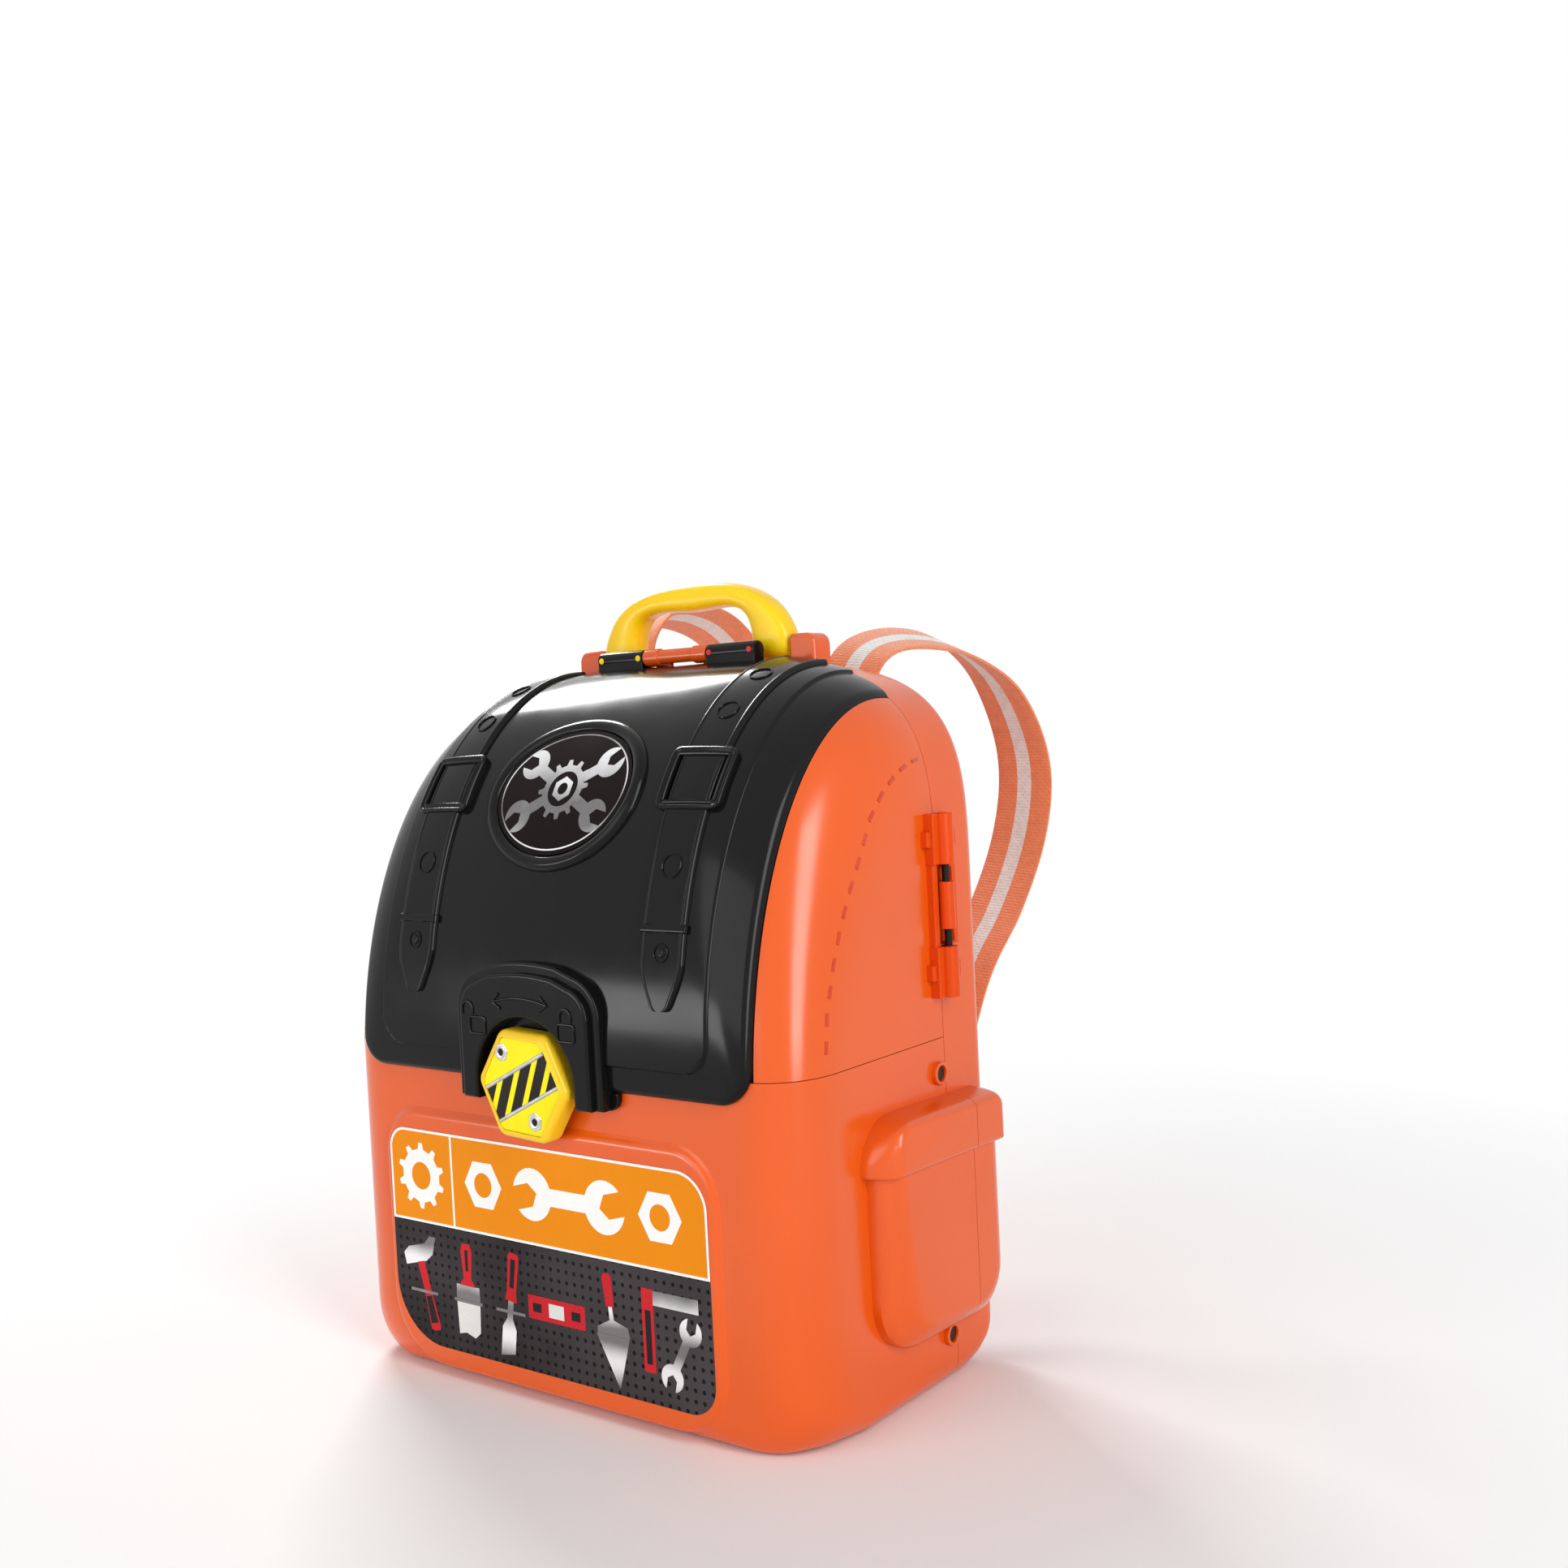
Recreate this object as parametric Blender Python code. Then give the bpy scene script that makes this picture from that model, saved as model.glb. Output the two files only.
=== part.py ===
"""Toy tool backpack: a moulded case with a lower bin, two side wings, a front flap with a
turn lock, a folding handle and two webbing shoulder straps.

Metres; x to the right, y to the back, z up. The pieces are drawn about the seam between the
front and back mouldings and then set back, so that the origin lies on the underside in the
middle of the case's footprint.
"""
import math

import bmesh
import bpy
from mathutils import Vector

# Case
BODY_WIDTH = 0.238
BODY_HEIGHT = 0.281
FRONT_DEPTH = 0.0975
BACK_DEPTH = 0.032
BIN_HEIGHT = 0.134
WALL = 0.0025
SEAM_GAP = 0.0003
FIT_GAP = 0.0003
FOOT_RADIUS = 0.0100
FRONT_FOOT_RADIUS = 0.0230
FRONT_FOOT_DEPTH = 0.0400
BACK_UNDER_RADIUS = 0.0220
BACK_EDGE_RADIUS = 0.009
UNDER_EDGE_RADIUS = 0.0105
OVERRUN = 0.010
PROFILE_EXPONENT_SHARE = 2.07
ARCH_EXPONENT_SHARE = 3.92
PLAN_EXPONENT_SHARE = 2.45
PLAN_FLAT_SHARE = 0.767
PLAN_CORNER_DEPTH = 0.0288
ARCH_SHOULDER_DEPTH = 0.0915

# Label pad on the bin
PAD_SIDE_MARGIN = 0.0320
PAD_OFFSET = -0.0040
PAD_BOTTOM = 0.0045
PAD_DROP = 0.0265
PAD_RISE = 0.0020
PAD_CHAMFER = 0.0015
PAD_TOP_RADIUS = 0.019
PAD_FOOT_RADIUS = 0.028

# Front flap
CHEEK_WIDTH = 0.0175
FLAP_OVERLAP = 0.0085
FLAP_RISE_LOW = 0.0050
FLAP_RISE_TOP = 0.0026
FLAP_WALL = 0.0022
FLAP_SKIRT = 0.0022
FLAP_SKIRT_WIDTH = 0.0028
FLAP_EDGE_ROUND = 0.0024
FLAP_CORNER_RADIUS = 0.013
FLAP_LIP = 0.0040
PANEL_SIDE_MARGIN = 0.0170
PANEL_LOW_MARGIN = 0.0112
PANEL_STEP = 0.0007
PANEL_SLOPE = 0.0009

# Moulded belts and buckles on the flap
BELT_OFFSET = 0.0652
BELT_WIDTH = 0.019
BELT_RISE = 0.0015
BELT_SINK = 0.0008
BELT_CHAMFER = 0.0008
BELT_TIP_UP = 0.0228
KEEPER_UP = 0.0515
KEEPER_LENGTH = 0.0028
KEEPER_RISE = 0.0022
KEEPER_OVERHANG = 0.0008
BELT_TIP_TAPER = 0.0155
BELT_TIP_WIDTH = 0.009
BELT_REAR_MARGIN = 0.003
BUCKLE_UP = 0.1072
BUCKLE_WIDTH = 0.0294
BUCKLE_LENGTH = 0.0256
BUCKLE_BAR = 0.0038
BUCKLE_RISE = 0.0026
BUCKLE_RADIUS = 0.0035
BUCKLE_CHAMFER = 0.0009

# Round emblem seat and disc
EMBLEM_UP = 0.1035
EMBLEM_HALF_WIDTH = 0.0399
EMBLEM_HALF_LENGTH = 0.0325
EMBLEM_RING_WIDTH = 0.0058
EMBLEM_RISE = 0.0028
EMBLEM_CHAMFER = 0.0012
DISC_RISE = 0.0014

# Turn lock
LOCK_DROP = 0.0080
HASP_HALF_WIDTH = 0.0336
HASP_REACH = 0.0424
HASP_LEG = 0.0070
HASP_CORNER_RADIUS = 0.012
HASP_LEG_RADIUS = 0.005
HASP_CROWN = 0.004
HASP_STEP = 0.0039
HASP_STEP_RISE = 0.0022
HASP_RISE = 0.0046
HASP_CHAMFER = 0.0010
HASP_GAP = 0.0006
SLOT_HALF_WIDTH = 0.0255
LOCK_BASE_THICKNESS = 0.0020
LOCK_BASE_HALF_WIDTH = 0.041
LOCK_BASE_LEG = 0.0075
LOCK_BASE_RADIUS = 0.0265
LOCK_BASE_FOOT_RADIUS = 0.005
KNOB_RADIUS = 0.0237
KNOB_CORNER_RADIUS = 0.0045
KNOB_RISE = 0.0020
KNOB_CHAMFER = 0.0034
KNOB_RIM = 0.0006
KNOB_FACE_THICKNESS = 0.0008
KNOB_TILT_DEG = -3.0
SHAFT_RADIUS = 0.006
LOCK_SCREW_RADIUS = 0.0015
LOCK_SCREW_HEAD_RADIUS = 0.0032
LOCK_SCREW_HEAD = 0.0020
LOCK_SCREW_LENGTH = 0.0072
WASHER_RADIUS = 0.0095
WASHER_THICKNESS = 0.0015
PIN_GAP = 0.00025

# Wing hinges on both sides
WING_HINGE_LOW_SHARE = 0.1088
WING_HINGE_HIGH_SHARE = 0.585
WING_BLOCK_SHARE = 0.1313
WING_BARREL_RADIUS = 0.0040
WING_PAD_REACH = 0.0078
WING_PAD_RISE = 0.0046
EAR_SHARE = 0.0442
EAR_REACH = 0.0030
HINGE_PIN_RADIUS = 0.0015
HINGE_END_CAP = 0.0015
WINDOW_SHARE = 0.0374
WINDOW_WIDTH = 0.0030

# Flap hinge at the top
TOP_HINGE_BACK = -0.005
TOP_HINGE_UP = 0.0067
TOP_BARREL_RADIUS = 0.0036
TOP_BLOCK_INNER = 0.0176
TOP_BLOCK_OUTER = 0.0430
TOP_KNUCKLE_INNER = 0.0090
TOP_BAR_RADIUS = 0.0030
TOP_WEB_HALF = 0.0034

# Handle
HANDLE_BACK = 0.0090
HANDLE_UP = 0.0090
HANDLE_HALF_WIDTH = 0.0520
HANDLE_RISE = 0.0283
HANDLE_LEG = 0.0205
HANDLE_GRIP = 0.0115
HANDLE_DEPTH = 0.0145
HANDLE_WAVE = 0.0009
BRACKET_WIDTH = 0.0125
BRACKET_DEPTH = 0.0120
BRACKET_RISE = 0.0122
BRACKET_SADDLE = 0.0010
BRACKET_SADDLE_REACH = 0.0125
BRACKET_ROUND = 0.0048
BRACKET_CHAMFER = 0.0010
HANDLE_PIN_RADIUS = 0.0022
HANDLE_PIN_REACH = 0.0080

# Side pockets
POCKET_FRONT = 0.0555
POCKET_REAR = 0.0255
POCKET_LOW = 0.028
POCKET_DROP = 0.0280
POCKET_RISE = 0.0112
POCKET_LOW_RADIUS = 0.022
POCKET_HIGH_RADIUS = 0.008
POCKET_EDGE_ROUND = 0.0075
POCKET_LID_HEIGHT = 0.0220
POCKET_LID_DROP = 0.0190
POCKET_LID_RISE = 0.0134
POCKET_LID_REACH = 0.0024
POCKET_LID_SLOPE = 0.0070
POCKET_LID_ROUND = 0.0070

# Case screws and their bosses
BOSS_RADIUS = 0.0045
BOSS_RISE = 0.0022
BOSS_FRONT = 0.0056
LOW_BOSS_HEIGHT = 0.0205
HIGH_BOSS_DROP = 0.0130
SCREW_RADIUS = 0.0014
SCREW_HEAD_RADIUS = 0.0028
SCREW_HEAD = 0.0016
SCREW_RECESS = 0.0010
SCREW_LENGTH = 0.0085
LUG_THICKNESS = 0.0070
LUG_HALF_HEIGHT = 0.0050
LUG_REACH = 0.0050

# Shoulder straps
STRAP_WIDTH = 0.028
STRAP_THICKNESS = 0.0018
STRAP_OFFSET = 0.0585
STRAP_STEPS = 44
ANCHOR_DROP = 0.029
ANCHOR_LOW_HEIGHT = 0.030
ANCHOR_BAR = 0.0060
ANCHOR_POST = 0.0032
ANCHOR_THICKNESS = 0.0030
SLIDER_POSITION_SHARE = 0.80
SLIDER_HALF_LENGTH = 0.0100
SLIDER_BAR = 0.0030
SLIDER_RAIL = 0.0030
SLIDER_THICKNESS = 0.0022
SLIDER_GAP = 0.0006

# Finish of the facets
SMOOTH_ANGLE_DEG = 38.0
ROUND_SIDES = 16
SMALL_SIDES = 12

ORANGE = (0.84, 0.115, 0.018)
BLACK = (0.016, 0.016, 0.017)
YELLOW = (0.95, 0.66, 0.015)
STEEL = (0.55, 0.56, 0.58)
WEBBING = (0.85, 0.20, 0.05)

# Derived places
HALF_WIDTH = BODY_WIDTH / 2
HALF_SEAM = SEAM_GAP / 2
ARCH_RISE = BODY_HEIGHT - BIN_HEIGHT
FLAP_HALF = HALF_WIDTH - CHEEK_WIDTH
WING_AXIS_X = HALF_WIDTH + WING_BARREL_RADIUS + FIT_GAP
TOP_AXIS_Z = BODY_HEIGHT + TOP_HINGE_UP
HANDLE_AXIS_Z = BODY_HEIGHT + HANDLE_UP
SET_BACK = (FRONT_DEPTH - BACK_DEPTH) / 2
PAD_TOP = BIN_HEIGHT - PAD_DROP
BOSS_HEIGHTS = (LOW_BOSS_HEIGHT, BIN_HEIGHT - HIGH_BOSS_DROP)
POCKET_HIGH = BIN_HEIGHT - POCKET_DROP
POCKET_LID_HIGH = BIN_HEIGHT - POCKET_LID_DROP
POCKET_LID_LOW = POCKET_LID_HIGH - POCKET_LID_HEIGHT
LOCK_HEIGHT = BIN_HEIGHT - LOCK_DROP
HASP_TOP = LOCK_HEIGHT + HASP_REACH
HASP_BOTTOM = LOCK_HEIGHT - HASP_LEG
LOCK_BASE_BOTTOM = LOCK_HEIGHT - LOCK_BASE_LEG
WING_HINGE_LOW = BIN_HEIGHT + ARCH_RISE * WING_HINGE_LOW_SHARE
WING_HINGE_HIGH = BIN_HEIGHT + ARCH_RISE * WING_HINGE_HIGH_SHARE
WING_BLOCK_HEIGHT = ARCH_RISE * WING_BLOCK_SHARE
EAR_HEIGHT = ARCH_RISE * EAR_SHARE
WINDOW_HEIGHT = ARCH_RISE * WINDOW_SHARE
ANCHOR_TOP_HEIGHT = BODY_HEIGHT - ANCHOR_DROP


# Scene helpers

def clear_scene():
    for item in list(bpy.data.objects):
        bpy.data.objects.remove(item, do_unlink=True)


def make_material(name, colour, roughness, metallic=0.0):
    material = bpy.data.materials.new(name)
    material.use_nodes = True
    shader = material.node_tree.nodes["Principled BSDF"]
    shader.inputs["Base Color"].default_value = (*colour, 1.0)
    shader.inputs["Roughness"].default_value = roughness
    shader.inputs["Metallic"].default_value = metallic
    material.diffuse_color = (*colour, 1.0)
    return material


def solid(name, rings):
    """One closed body lofted through rings of equal count, with a face over each end."""
    mesh = bmesh.new()
    loops = [[mesh.verts.new(point) for point in ring] for ring in rings]
    count = len(loops[0])
    for lower, upper in zip(loops, loops[1:]):
        for i in range(count):
            j = (i + 1) % count
            mesh.faces.new((lower[i], lower[j], upper[j], upper[i]))
    mesh.faces.new(loops[0])
    mesh.faces.new(loops[-1])
    return finish_mesh(name, mesh)


def ring_solid(name, loops):
    """One closed ring-shaped body whose section runs through the given loops and back."""
    mesh = bmesh.new()
    verts = [[mesh.verts.new(point) for point in loop] for loop in loops]
    count = len(verts[0])
    for k in range(len(verts)):
        lower = verts[k]
        upper = verts[(k + 1) % len(verts)]
        for i in range(count):
            j = (i + 1) % count
            mesh.faces.new((lower[i], lower[j], upper[j], upper[i]))
    return finish_mesh(name, mesh)


def finish_mesh(name, mesh):
    bmesh.ops.recalc_face_normals(mesh, faces=mesh.faces)
    data = bpy.data.meshes.new(name)
    mesh.to_mesh(data)
    mesh.free()
    item = bpy.data.objects.new(name, data)
    bpy.context.scene.collection.objects.link(item)
    return item


def combine(target, tool, operation):
    """Apply one Boolean to the target and take the tool away."""
    modifier = target.modifiers.new("combine", "BOOLEAN")
    modifier.operation = operation
    modifier.solver = "EXACT"
    modifier.object = tool
    graph = bpy.context.evaluated_depsgraph_get()
    result = bpy.data.meshes.new_from_object(target.evaluated_get(graph))
    target.modifiers.clear()
    target.data = result
    bpy.data.objects.remove(tool, do_unlink=True)
    return target


def add(target, *tools):
    for tool in tools:
        combine(target, tool, "UNION")
    return target


def cut(target, *tools):
    for tool in tools:
        combine(target, tool, "DIFFERENCE")
    return target


def keep(target, tool):
    return combine(target, tool, "INTERSECT")


def dress(item, name, material):
    """Name and place the object, give it its material and shade it smooth across shallow edges."""
    item.name = name
    item.data.name = name
    item.location.y = SET_BACK
    item.data.materials.clear()
    item.data.materials.append(material)
    item.data.shade_smooth()
    item.data.set_sharp_from_angle(angle=math.radians(SMOOTH_ANGLE_DEG))
    return item


def pivot(name, location, items):
    """An empty on a joint's axis that carries the pieces turning about it."""
    x, y, z = location
    axis = bpy.data.objects.new(name, None)
    axis.location = (x, y + SET_BACK, z)
    axis.hide_render = True
    bpy.context.scene.collection.objects.link(axis)
    bpy.context.view_layer.update()
    for item in items:
        item.parent = axis
        item.matrix_parent_inverse = axis.matrix_world.inverted()
    return axis


def set_on(item, centre, x_way, y_way, z_way):
    """Carry a body drawn about the origin to a centre and three directions."""
    for vertex in item.data.vertices:
        x, y, z = vertex.co
        vertex.co = centre + x_way * x + y_way * y + z_way * z
    if x_way.cross(y_way).dot(z_way) < 0.0:
        item.data.flip_normals()
    return item


def mirrored(item, side):
    """Turn a body drawn for the right side into its left twin where side is -1."""
    if side < 0:
        for vertex in item.data.vertices:
            vertex.co.x = -vertex.co.x
        item.data.flip_normals()
    return item


# Plain shapes

def box(low, high):
    (x0, y0, z0), (x1, y1, z1) = low, high
    rings = [[Vector((x0, y0, z)), Vector((x1, y0, z)), Vector((x1, y1, z)), Vector((x0, y1, z))]
             for z in (z0, z1)]
    return solid("box", rings)


def along(axis, centre, u, v, w):
    """A point from section coordinates u, v and a distance w along the named axis."""
    cx, cy, cz = centre
    if axis == "x":
        return Vector((cx + w, cy + u, cz + v))
    if axis == "y":
        return Vector((cx + u, cy + w, cz + v))
    return Vector((cx + u, cy + v, cz + w))


def turned(axis, centre, profile, sides=ROUND_SIDES):
    """A turned body: profile lists (distance along the axis, radius)."""
    rings = []
    for distance, radius in profile:
        ring = []
        for i in range(sides):
            angle = math.tau * (i + 0.5) / sides
            ring.append(along(axis, centre, radius * math.cos(angle), radius * math.sin(angle), distance))
        rings.append(ring)
    return solid("turned", rings)


def rod(axis, centre, radius, low, high, sides=ROUND_SIDES):
    return turned(axis, centre, [(low, radius), (high, radius)], sides)


def inset_corners(corners, amount):
    """Move each edge of a convex anticlockwise outline inwards."""
    result = []
    count = len(corners)
    for i in range(count):
        before = Vector(corners[i - 1])
        here = Vector(corners[i])
        after = Vector(corners[(i + 1) % count])
        d0 = (here - before).normalized()
        d1 = (after - here).normalized()
        n0 = Vector((-d0.y, d0.x))
        n1 = Vector((-d1.y, d1.x))
        shift = (n0 + n1) / (1.0 + n0.dot(n1))
        result.append(here + shift * amount)
    return result


def rounded(corners, radii, steps=4):
    """The outline of a convex anticlockwise polygon with its corners rounded."""
    points = []
    count = len(corners)
    for i in range(count):
        here = Vector(corners[i])
        d0 = (Vector(corners[i - 1]) - here).normalized()
        d1 = (Vector(corners[(i + 1) % count]) - here).normalized()
        half = math.acos(max(-1.0, min(1.0, d0.dot(d1)))) / 2
        radius = max(radii[i], 0.0)
        reach = radius / math.tan(half)
        centre = here + (d0 + d1).normalized() * (radius / math.sin(half))
        start = here + d0 * reach - centre
        sweep = math.pi - 2 * half
        for k in range(steps + 1):
            turn = sweep * k / steps
            spun = Vector((start.x * math.cos(turn) - start.y * math.sin(turn),
                           start.x * math.sin(turn) + start.y * math.cos(turn)))
            points.append(centre + spun)
    return points


def rectangle(x0, z0, x1, z1):
    return [(x0, z0), (x1, z0), (x1, z1), (x0, z1)]


def plate(axis, centre, corners, radii, levels, steps=4):
    """A plate with rounded corners; levels lists (distance along the axis, inset)."""
    rings = []
    for distance, inset in levels:
        shrunk = inset_corners(corners, inset)
        tight = [radius - inset for radius in radii]
        outline = rounded(shrunk, tight, steps)
        rings.append([along(axis, centre, p.x, p.y, distance) for p in outline])
    return solid("plate", rings)


# The case's outer form

def power_point(a, b, exponent, angle):
    """A point of a superellipse quarter."""
    return (a * max(math.cos(angle), 0.0) ** (2 / exponent),
            b * max(math.sin(angle), 0.0) ** (2 / exponent))


def profile_point(angle):
    """The middle profile above the bin: place and outward direction in the y-z plane."""
    n = PROFILE_EXPONENT_SHARE
    forward, up = power_point(FRONT_DEPTH, ARCH_RISE, n, angle)
    gy = (forward / FRONT_DEPTH) ** (n - 1) / FRONT_DEPTH
    gz = (up / ARCH_RISE) ** (n - 1) / ARCH_RISE
    size = math.hypot(gy, gz)
    return (-forward, BIN_HEIGHT + up, -gy / size, gz / size, angle / (math.pi / 2))


PROFILE_STEPS = 240


def profile_lengths():
    total = 0.0
    table = [0.0]
    before = profile_point(0.0)
    for i in range(1, PROFILE_STEPS + 1):
        here = profile_point(math.pi / 2 * i / PROFILE_STEPS)
        total += math.hypot(here[0] - before[0], here[1] - before[1])
        table.append(total)
        before = here
    return table


LENGTHS = profile_lengths()
PROFILE_LENGTH = LENGTHS[-1]


def station(up):
    """The profile at a distance up the skin from the bin's top edge; below it runs straight down."""
    if up <= 0.0:
        return (-FRONT_DEPTH, BIN_HEIGHT + up, -1.0, 0.0, 0.0)
    if up >= PROFILE_LENGTH:
        return profile_point(math.pi / 2)
    i = 1
    while LENGTHS[i] < up:
        i += 1
    part = (up - LENGTHS[i - 1]) / (LENGTHS[i] - LENGTHS[i - 1])
    return profile_point(math.pi / 2 * (i - 1 + part) / PROFILE_STEPS)


def corner_drop(share, weight):
    """How far the skin falls away from the middle profile towards the side."""
    exponent = PLAN_EXPONENT_SHARE + (ARCH_EXPONENT_SHARE - PLAN_EXPONENT_SHARE) * weight
    flat = PLAN_FLAT_SHARE * (1.0 - weight)
    depth = PLAN_CORNER_DEPTH + (ARCH_SHOULDER_DEPTH - PLAN_CORNER_DEPTH) * weight
    reach = max(0.0, min(1.0, (share - flat) / (1.0 - flat)))
    return depth * (1.0 - (1.0 - reach ** exponent) ** (1.0 / exponent))


def skin(place, x, lift):
    """A point of the upper skin, lifted along the profile's outward direction."""
    y, z, ny, nz, weight = place
    share = min(abs(x) / HALF_WIDTH, 1.0)
    rise = lift - corner_drop(share, weight)
    return Vector((x, y + ny * rise, z + nz * rise))


def skin_normal(up, x):
    """The skin's true outward direction, from neighbouring points."""
    step = FRONT_DEPTH / 400
    a = skin(station(up - step), x, 0.0)
    b = skin(station(up + step), x, 0.0)
    c = skin(station(up), x - step, 0.0)
    d = skin(station(up), x + step, 0.0)
    normal = (d - c).cross(b - a)
    return normal.normalized()


def flap_rise(up):
    """How proud the flap stands of the wings, tapering to the hinge."""
    weight = max(0.0, min(1.0, up / PROFILE_LENGTH))
    return FLAP_RISE_LOW + (FLAP_RISE_TOP - FLAP_RISE_LOW) * weight


def on_flap(x, up, height):
    """A point above the flap's outer face."""
    place = skin(station(up), x, flap_rise(up))
    return place + skin_normal(up, x) * height


ARCH_ANGLES_DEG = (0, 7, 16, 27, 38, 50, 61, 71, 80, 86)


def arch_outline(inset, lift=0.0):
    """The case seen from the front: rounded feet, straight sides and a domed top."""
    half = []
    centre_x = HALF_WIDTH - FOOT_RADIUS
    for i in range(6):
        angle = math.pi / 2 * (i / 5 - 1)
        radius = FOOT_RADIUS - inset
        half.append((centre_x + radius * math.cos(angle), FOOT_RADIUS + lift + radius * math.sin(angle)))
    half.append((HALF_WIDTH - inset, BIN_HEIGHT))
    shoulder = BODY_HEIGHT - ARCH_SHOULDER_DEPTH
    for degrees in ARCH_ANGLES_DEG:
        px, pz = power_point(HALF_WIDTH - inset, ARCH_SHOULDER_DEPTH - inset,
                             ARCH_EXPONENT_SHARE, math.radians(degrees))
        half.append((px, shoulder + pz))
    other = [(-x, z) for x, z in reversed(half)]
    return half + [(0.0, BODY_HEIGHT - inset)] + other


def arch_form(levels):
    """A closed body from rings of the arch; levels lists (y, inset, lift of the underside)."""
    rings = []
    for y, inset, lift in levels:
        rings.append([Vector((x, y, z)) for x, z in arch_outline(inset, lift)])
    return solid("arch", rings)


def rounding(distance, radius):
    """How far an edge of this radius has drawn in, at a distance from the face it rounds into."""
    gap = max(0.0, 1.0 - distance / radius)
    return radius * (1.0 - math.sqrt(1.0 - gap * gap))


BIN_CORNER_STEPS_SHARE = (0.0, 0.30, 0.50, 0.68, 0.84, 0.95, 1.0)


def bin_form(inset, rear, top):
    """The bin as a closed body, rounded towards its front face and under edge."""
    rings = []
    flat = PLAN_FLAT_SHARE * HALF_WIDTH
    n = PLAN_EXPONENT_SHARE
    places = []
    for reach in BIN_CORNER_STEPS_SHARE:
        depth = PLAN_CORNER_DEPTH * (1.0 - (1.0 - reach ** n) ** (1.0 / n))
        places.append((depth, flat + (HALF_WIDTH - flat) * reach))
    places.append((FRONT_FOOT_DEPTH, HALF_WIDTH))
    places.append((FRONT_DEPTH + rear, HALF_WIDTH))
    for depth, half_width in places:
        lift = rounding(depth, UNDER_EDGE_RADIUS)
        nearness = max(0.0, 1.0 - depth / FRONT_FOOT_DEPTH)
        foot = FOOT_RADIUS + (FRONT_FOOT_RADIUS - FOOT_RADIUS) * nearness
        half = []
        for i in range(6):
            angle = math.pi / 2 * (i / 5 - 1)
            half.append((half_width - foot + (foot - inset) * math.cos(angle),
                         foot + lift + (foot - inset) * math.sin(angle)))
        half.append((half_width - inset, top))
        other = [(-x, z) for x, z in reversed(half)]
        y = -FRONT_DEPTH + depth
        if depth < FRONT_DEPTH:
            y += inset
        rings.append([Vector((x, y, z)) for x, z in half + other])
    return solid("bin", rings)


WING_UPS_SHARE = (0.0, 0.06, 0.12, 0.19, 0.26, 0.33, 0.40, 0.47, 0.54, 0.61, 0.68, 0.76, 0.84, 0.92, 1.0)
WING_XS_SHARE = (0.0, 0.22, 0.42, 0.58, 0.72, 0.84, 0.93, 0.98, 1.0)


def cheek_form(inset, inner, beyond):
    """The right side of the upper case, from x = inner outwards; beyond takes it past the seams."""
    rings = []
    places = [(inner, inner - beyond)]
    for share in WING_XS_SHARE:
        places.append((inner + (HALF_WIDTH - inner) * share, inner + (HALF_WIDTH - inset - inner) * share))
    for x, squeeze in places:
        first = skin(station(0.0), x, -inset)
        last = skin(station(PROFILE_LENGTH), x, -inset)
        ring = [Vector((squeeze, first.y, first.z - beyond))]
        for part in WING_UPS_SHARE:
            point = skin(station(PROFILE_LENGTH * part), x, -inset)
            ring.append(Vector((squeeze, point.y, point.z)))
        ring.append(Vector((squeeze, last.y + beyond, last.z)))
        ring.append(Vector((squeeze, last.y + beyond, first.z - beyond)))
        rings.append(ring)
    return solid("cheek", rings)


# Wings

def side_name(side, rest):
    return ("right_" if side > 0 else "left_") + rest


def hinge_spans():
    """The heights of the lower block, the middle knuckle and the upper block."""
    low = WING_HINGE_LOW
    high = WING_HINGE_HIGH
    step = WING_BLOCK_HEIGHT
    return ((low, low + step),
            (low + step + FIT_GAP, high - step - FIT_GAP),
            (high - step, high))


def hinge_ear(middle, towards):
    """The ear beside a hinge block; towards is -1 for the front and 1 for the back."""
    y0, y1 = sorted((towards * (WING_PAD_REACH - WALL), towards * (WING_PAD_REACH + EAR_REACH)))
    return box((HALF_WIDTH - WALL / 2, y0, middle - EAR_HEIGHT / 2),
               (HALF_WIDTH + WING_PAD_RISE - EAR_REACH / 2, y1, middle + EAR_HEIGHT / 2))


def hinge_knuckle(low, high, towards):
    """A round barrel about the wing's axis with the pad that joins it to the case's side."""
    near = -FIT_GAP if towards < 0 else FIT_GAP
    y0, y1 = sorted((near, towards * WING_PAD_REACH))
    knuckle = box((HALF_WIDTH - WALL / 2, y0, low), (HALF_WIDTH + WING_PAD_RISE, y1, high))
    add(knuckle, rod("z", (WING_AXIS_X, 0.0, 0.0), WING_BARREL_RADIUS, low, high))
    y0, y1 = sorted((towards * HALF_SEAM, -towards * OVERRUN))
    relief = box((HALF_WIDTH - OVERRUN, y0, low - OVERRUN), (HALF_WIDTH + FIT_GAP, y1, high + OVERRUN))
    return cut(knuckle, relief)


def make_wing(side, material):
    inner = FLAP_HALF + HALF_SEAM
    wing = cheek_form(0.0, inner, OVERRUN / 2)
    cut(wing, cheek_form(WALL, inner, OVERRUN))
    keep(wing, box((inner, -FRONT_DEPTH - OVERRUN, BIN_HEIGHT + HALF_SEAM),
                   (HALF_WIDTH + OVERRUN, -HALF_SEAM, BODY_HEIGHT + OVERRUN)))
    lower, _, upper = hinge_spans()
    for low, high in (lower, upper):
        add(wing, add(hinge_knuckle(low, high, -1), hinge_ear((low + high) / 2, -1)))
    cut(wing, rod("z", (WING_AXIS_X, 0.0, 0.0), HINGE_PIN_RADIUS + PIN_GAP,
                  WING_HINGE_LOW + HINGE_END_CAP, WING_HINGE_HIGH - HINGE_END_CAP, SMALL_SIDES))
    return dress(mirrored(wing, side), side_name(side, "wing"), material)


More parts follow.
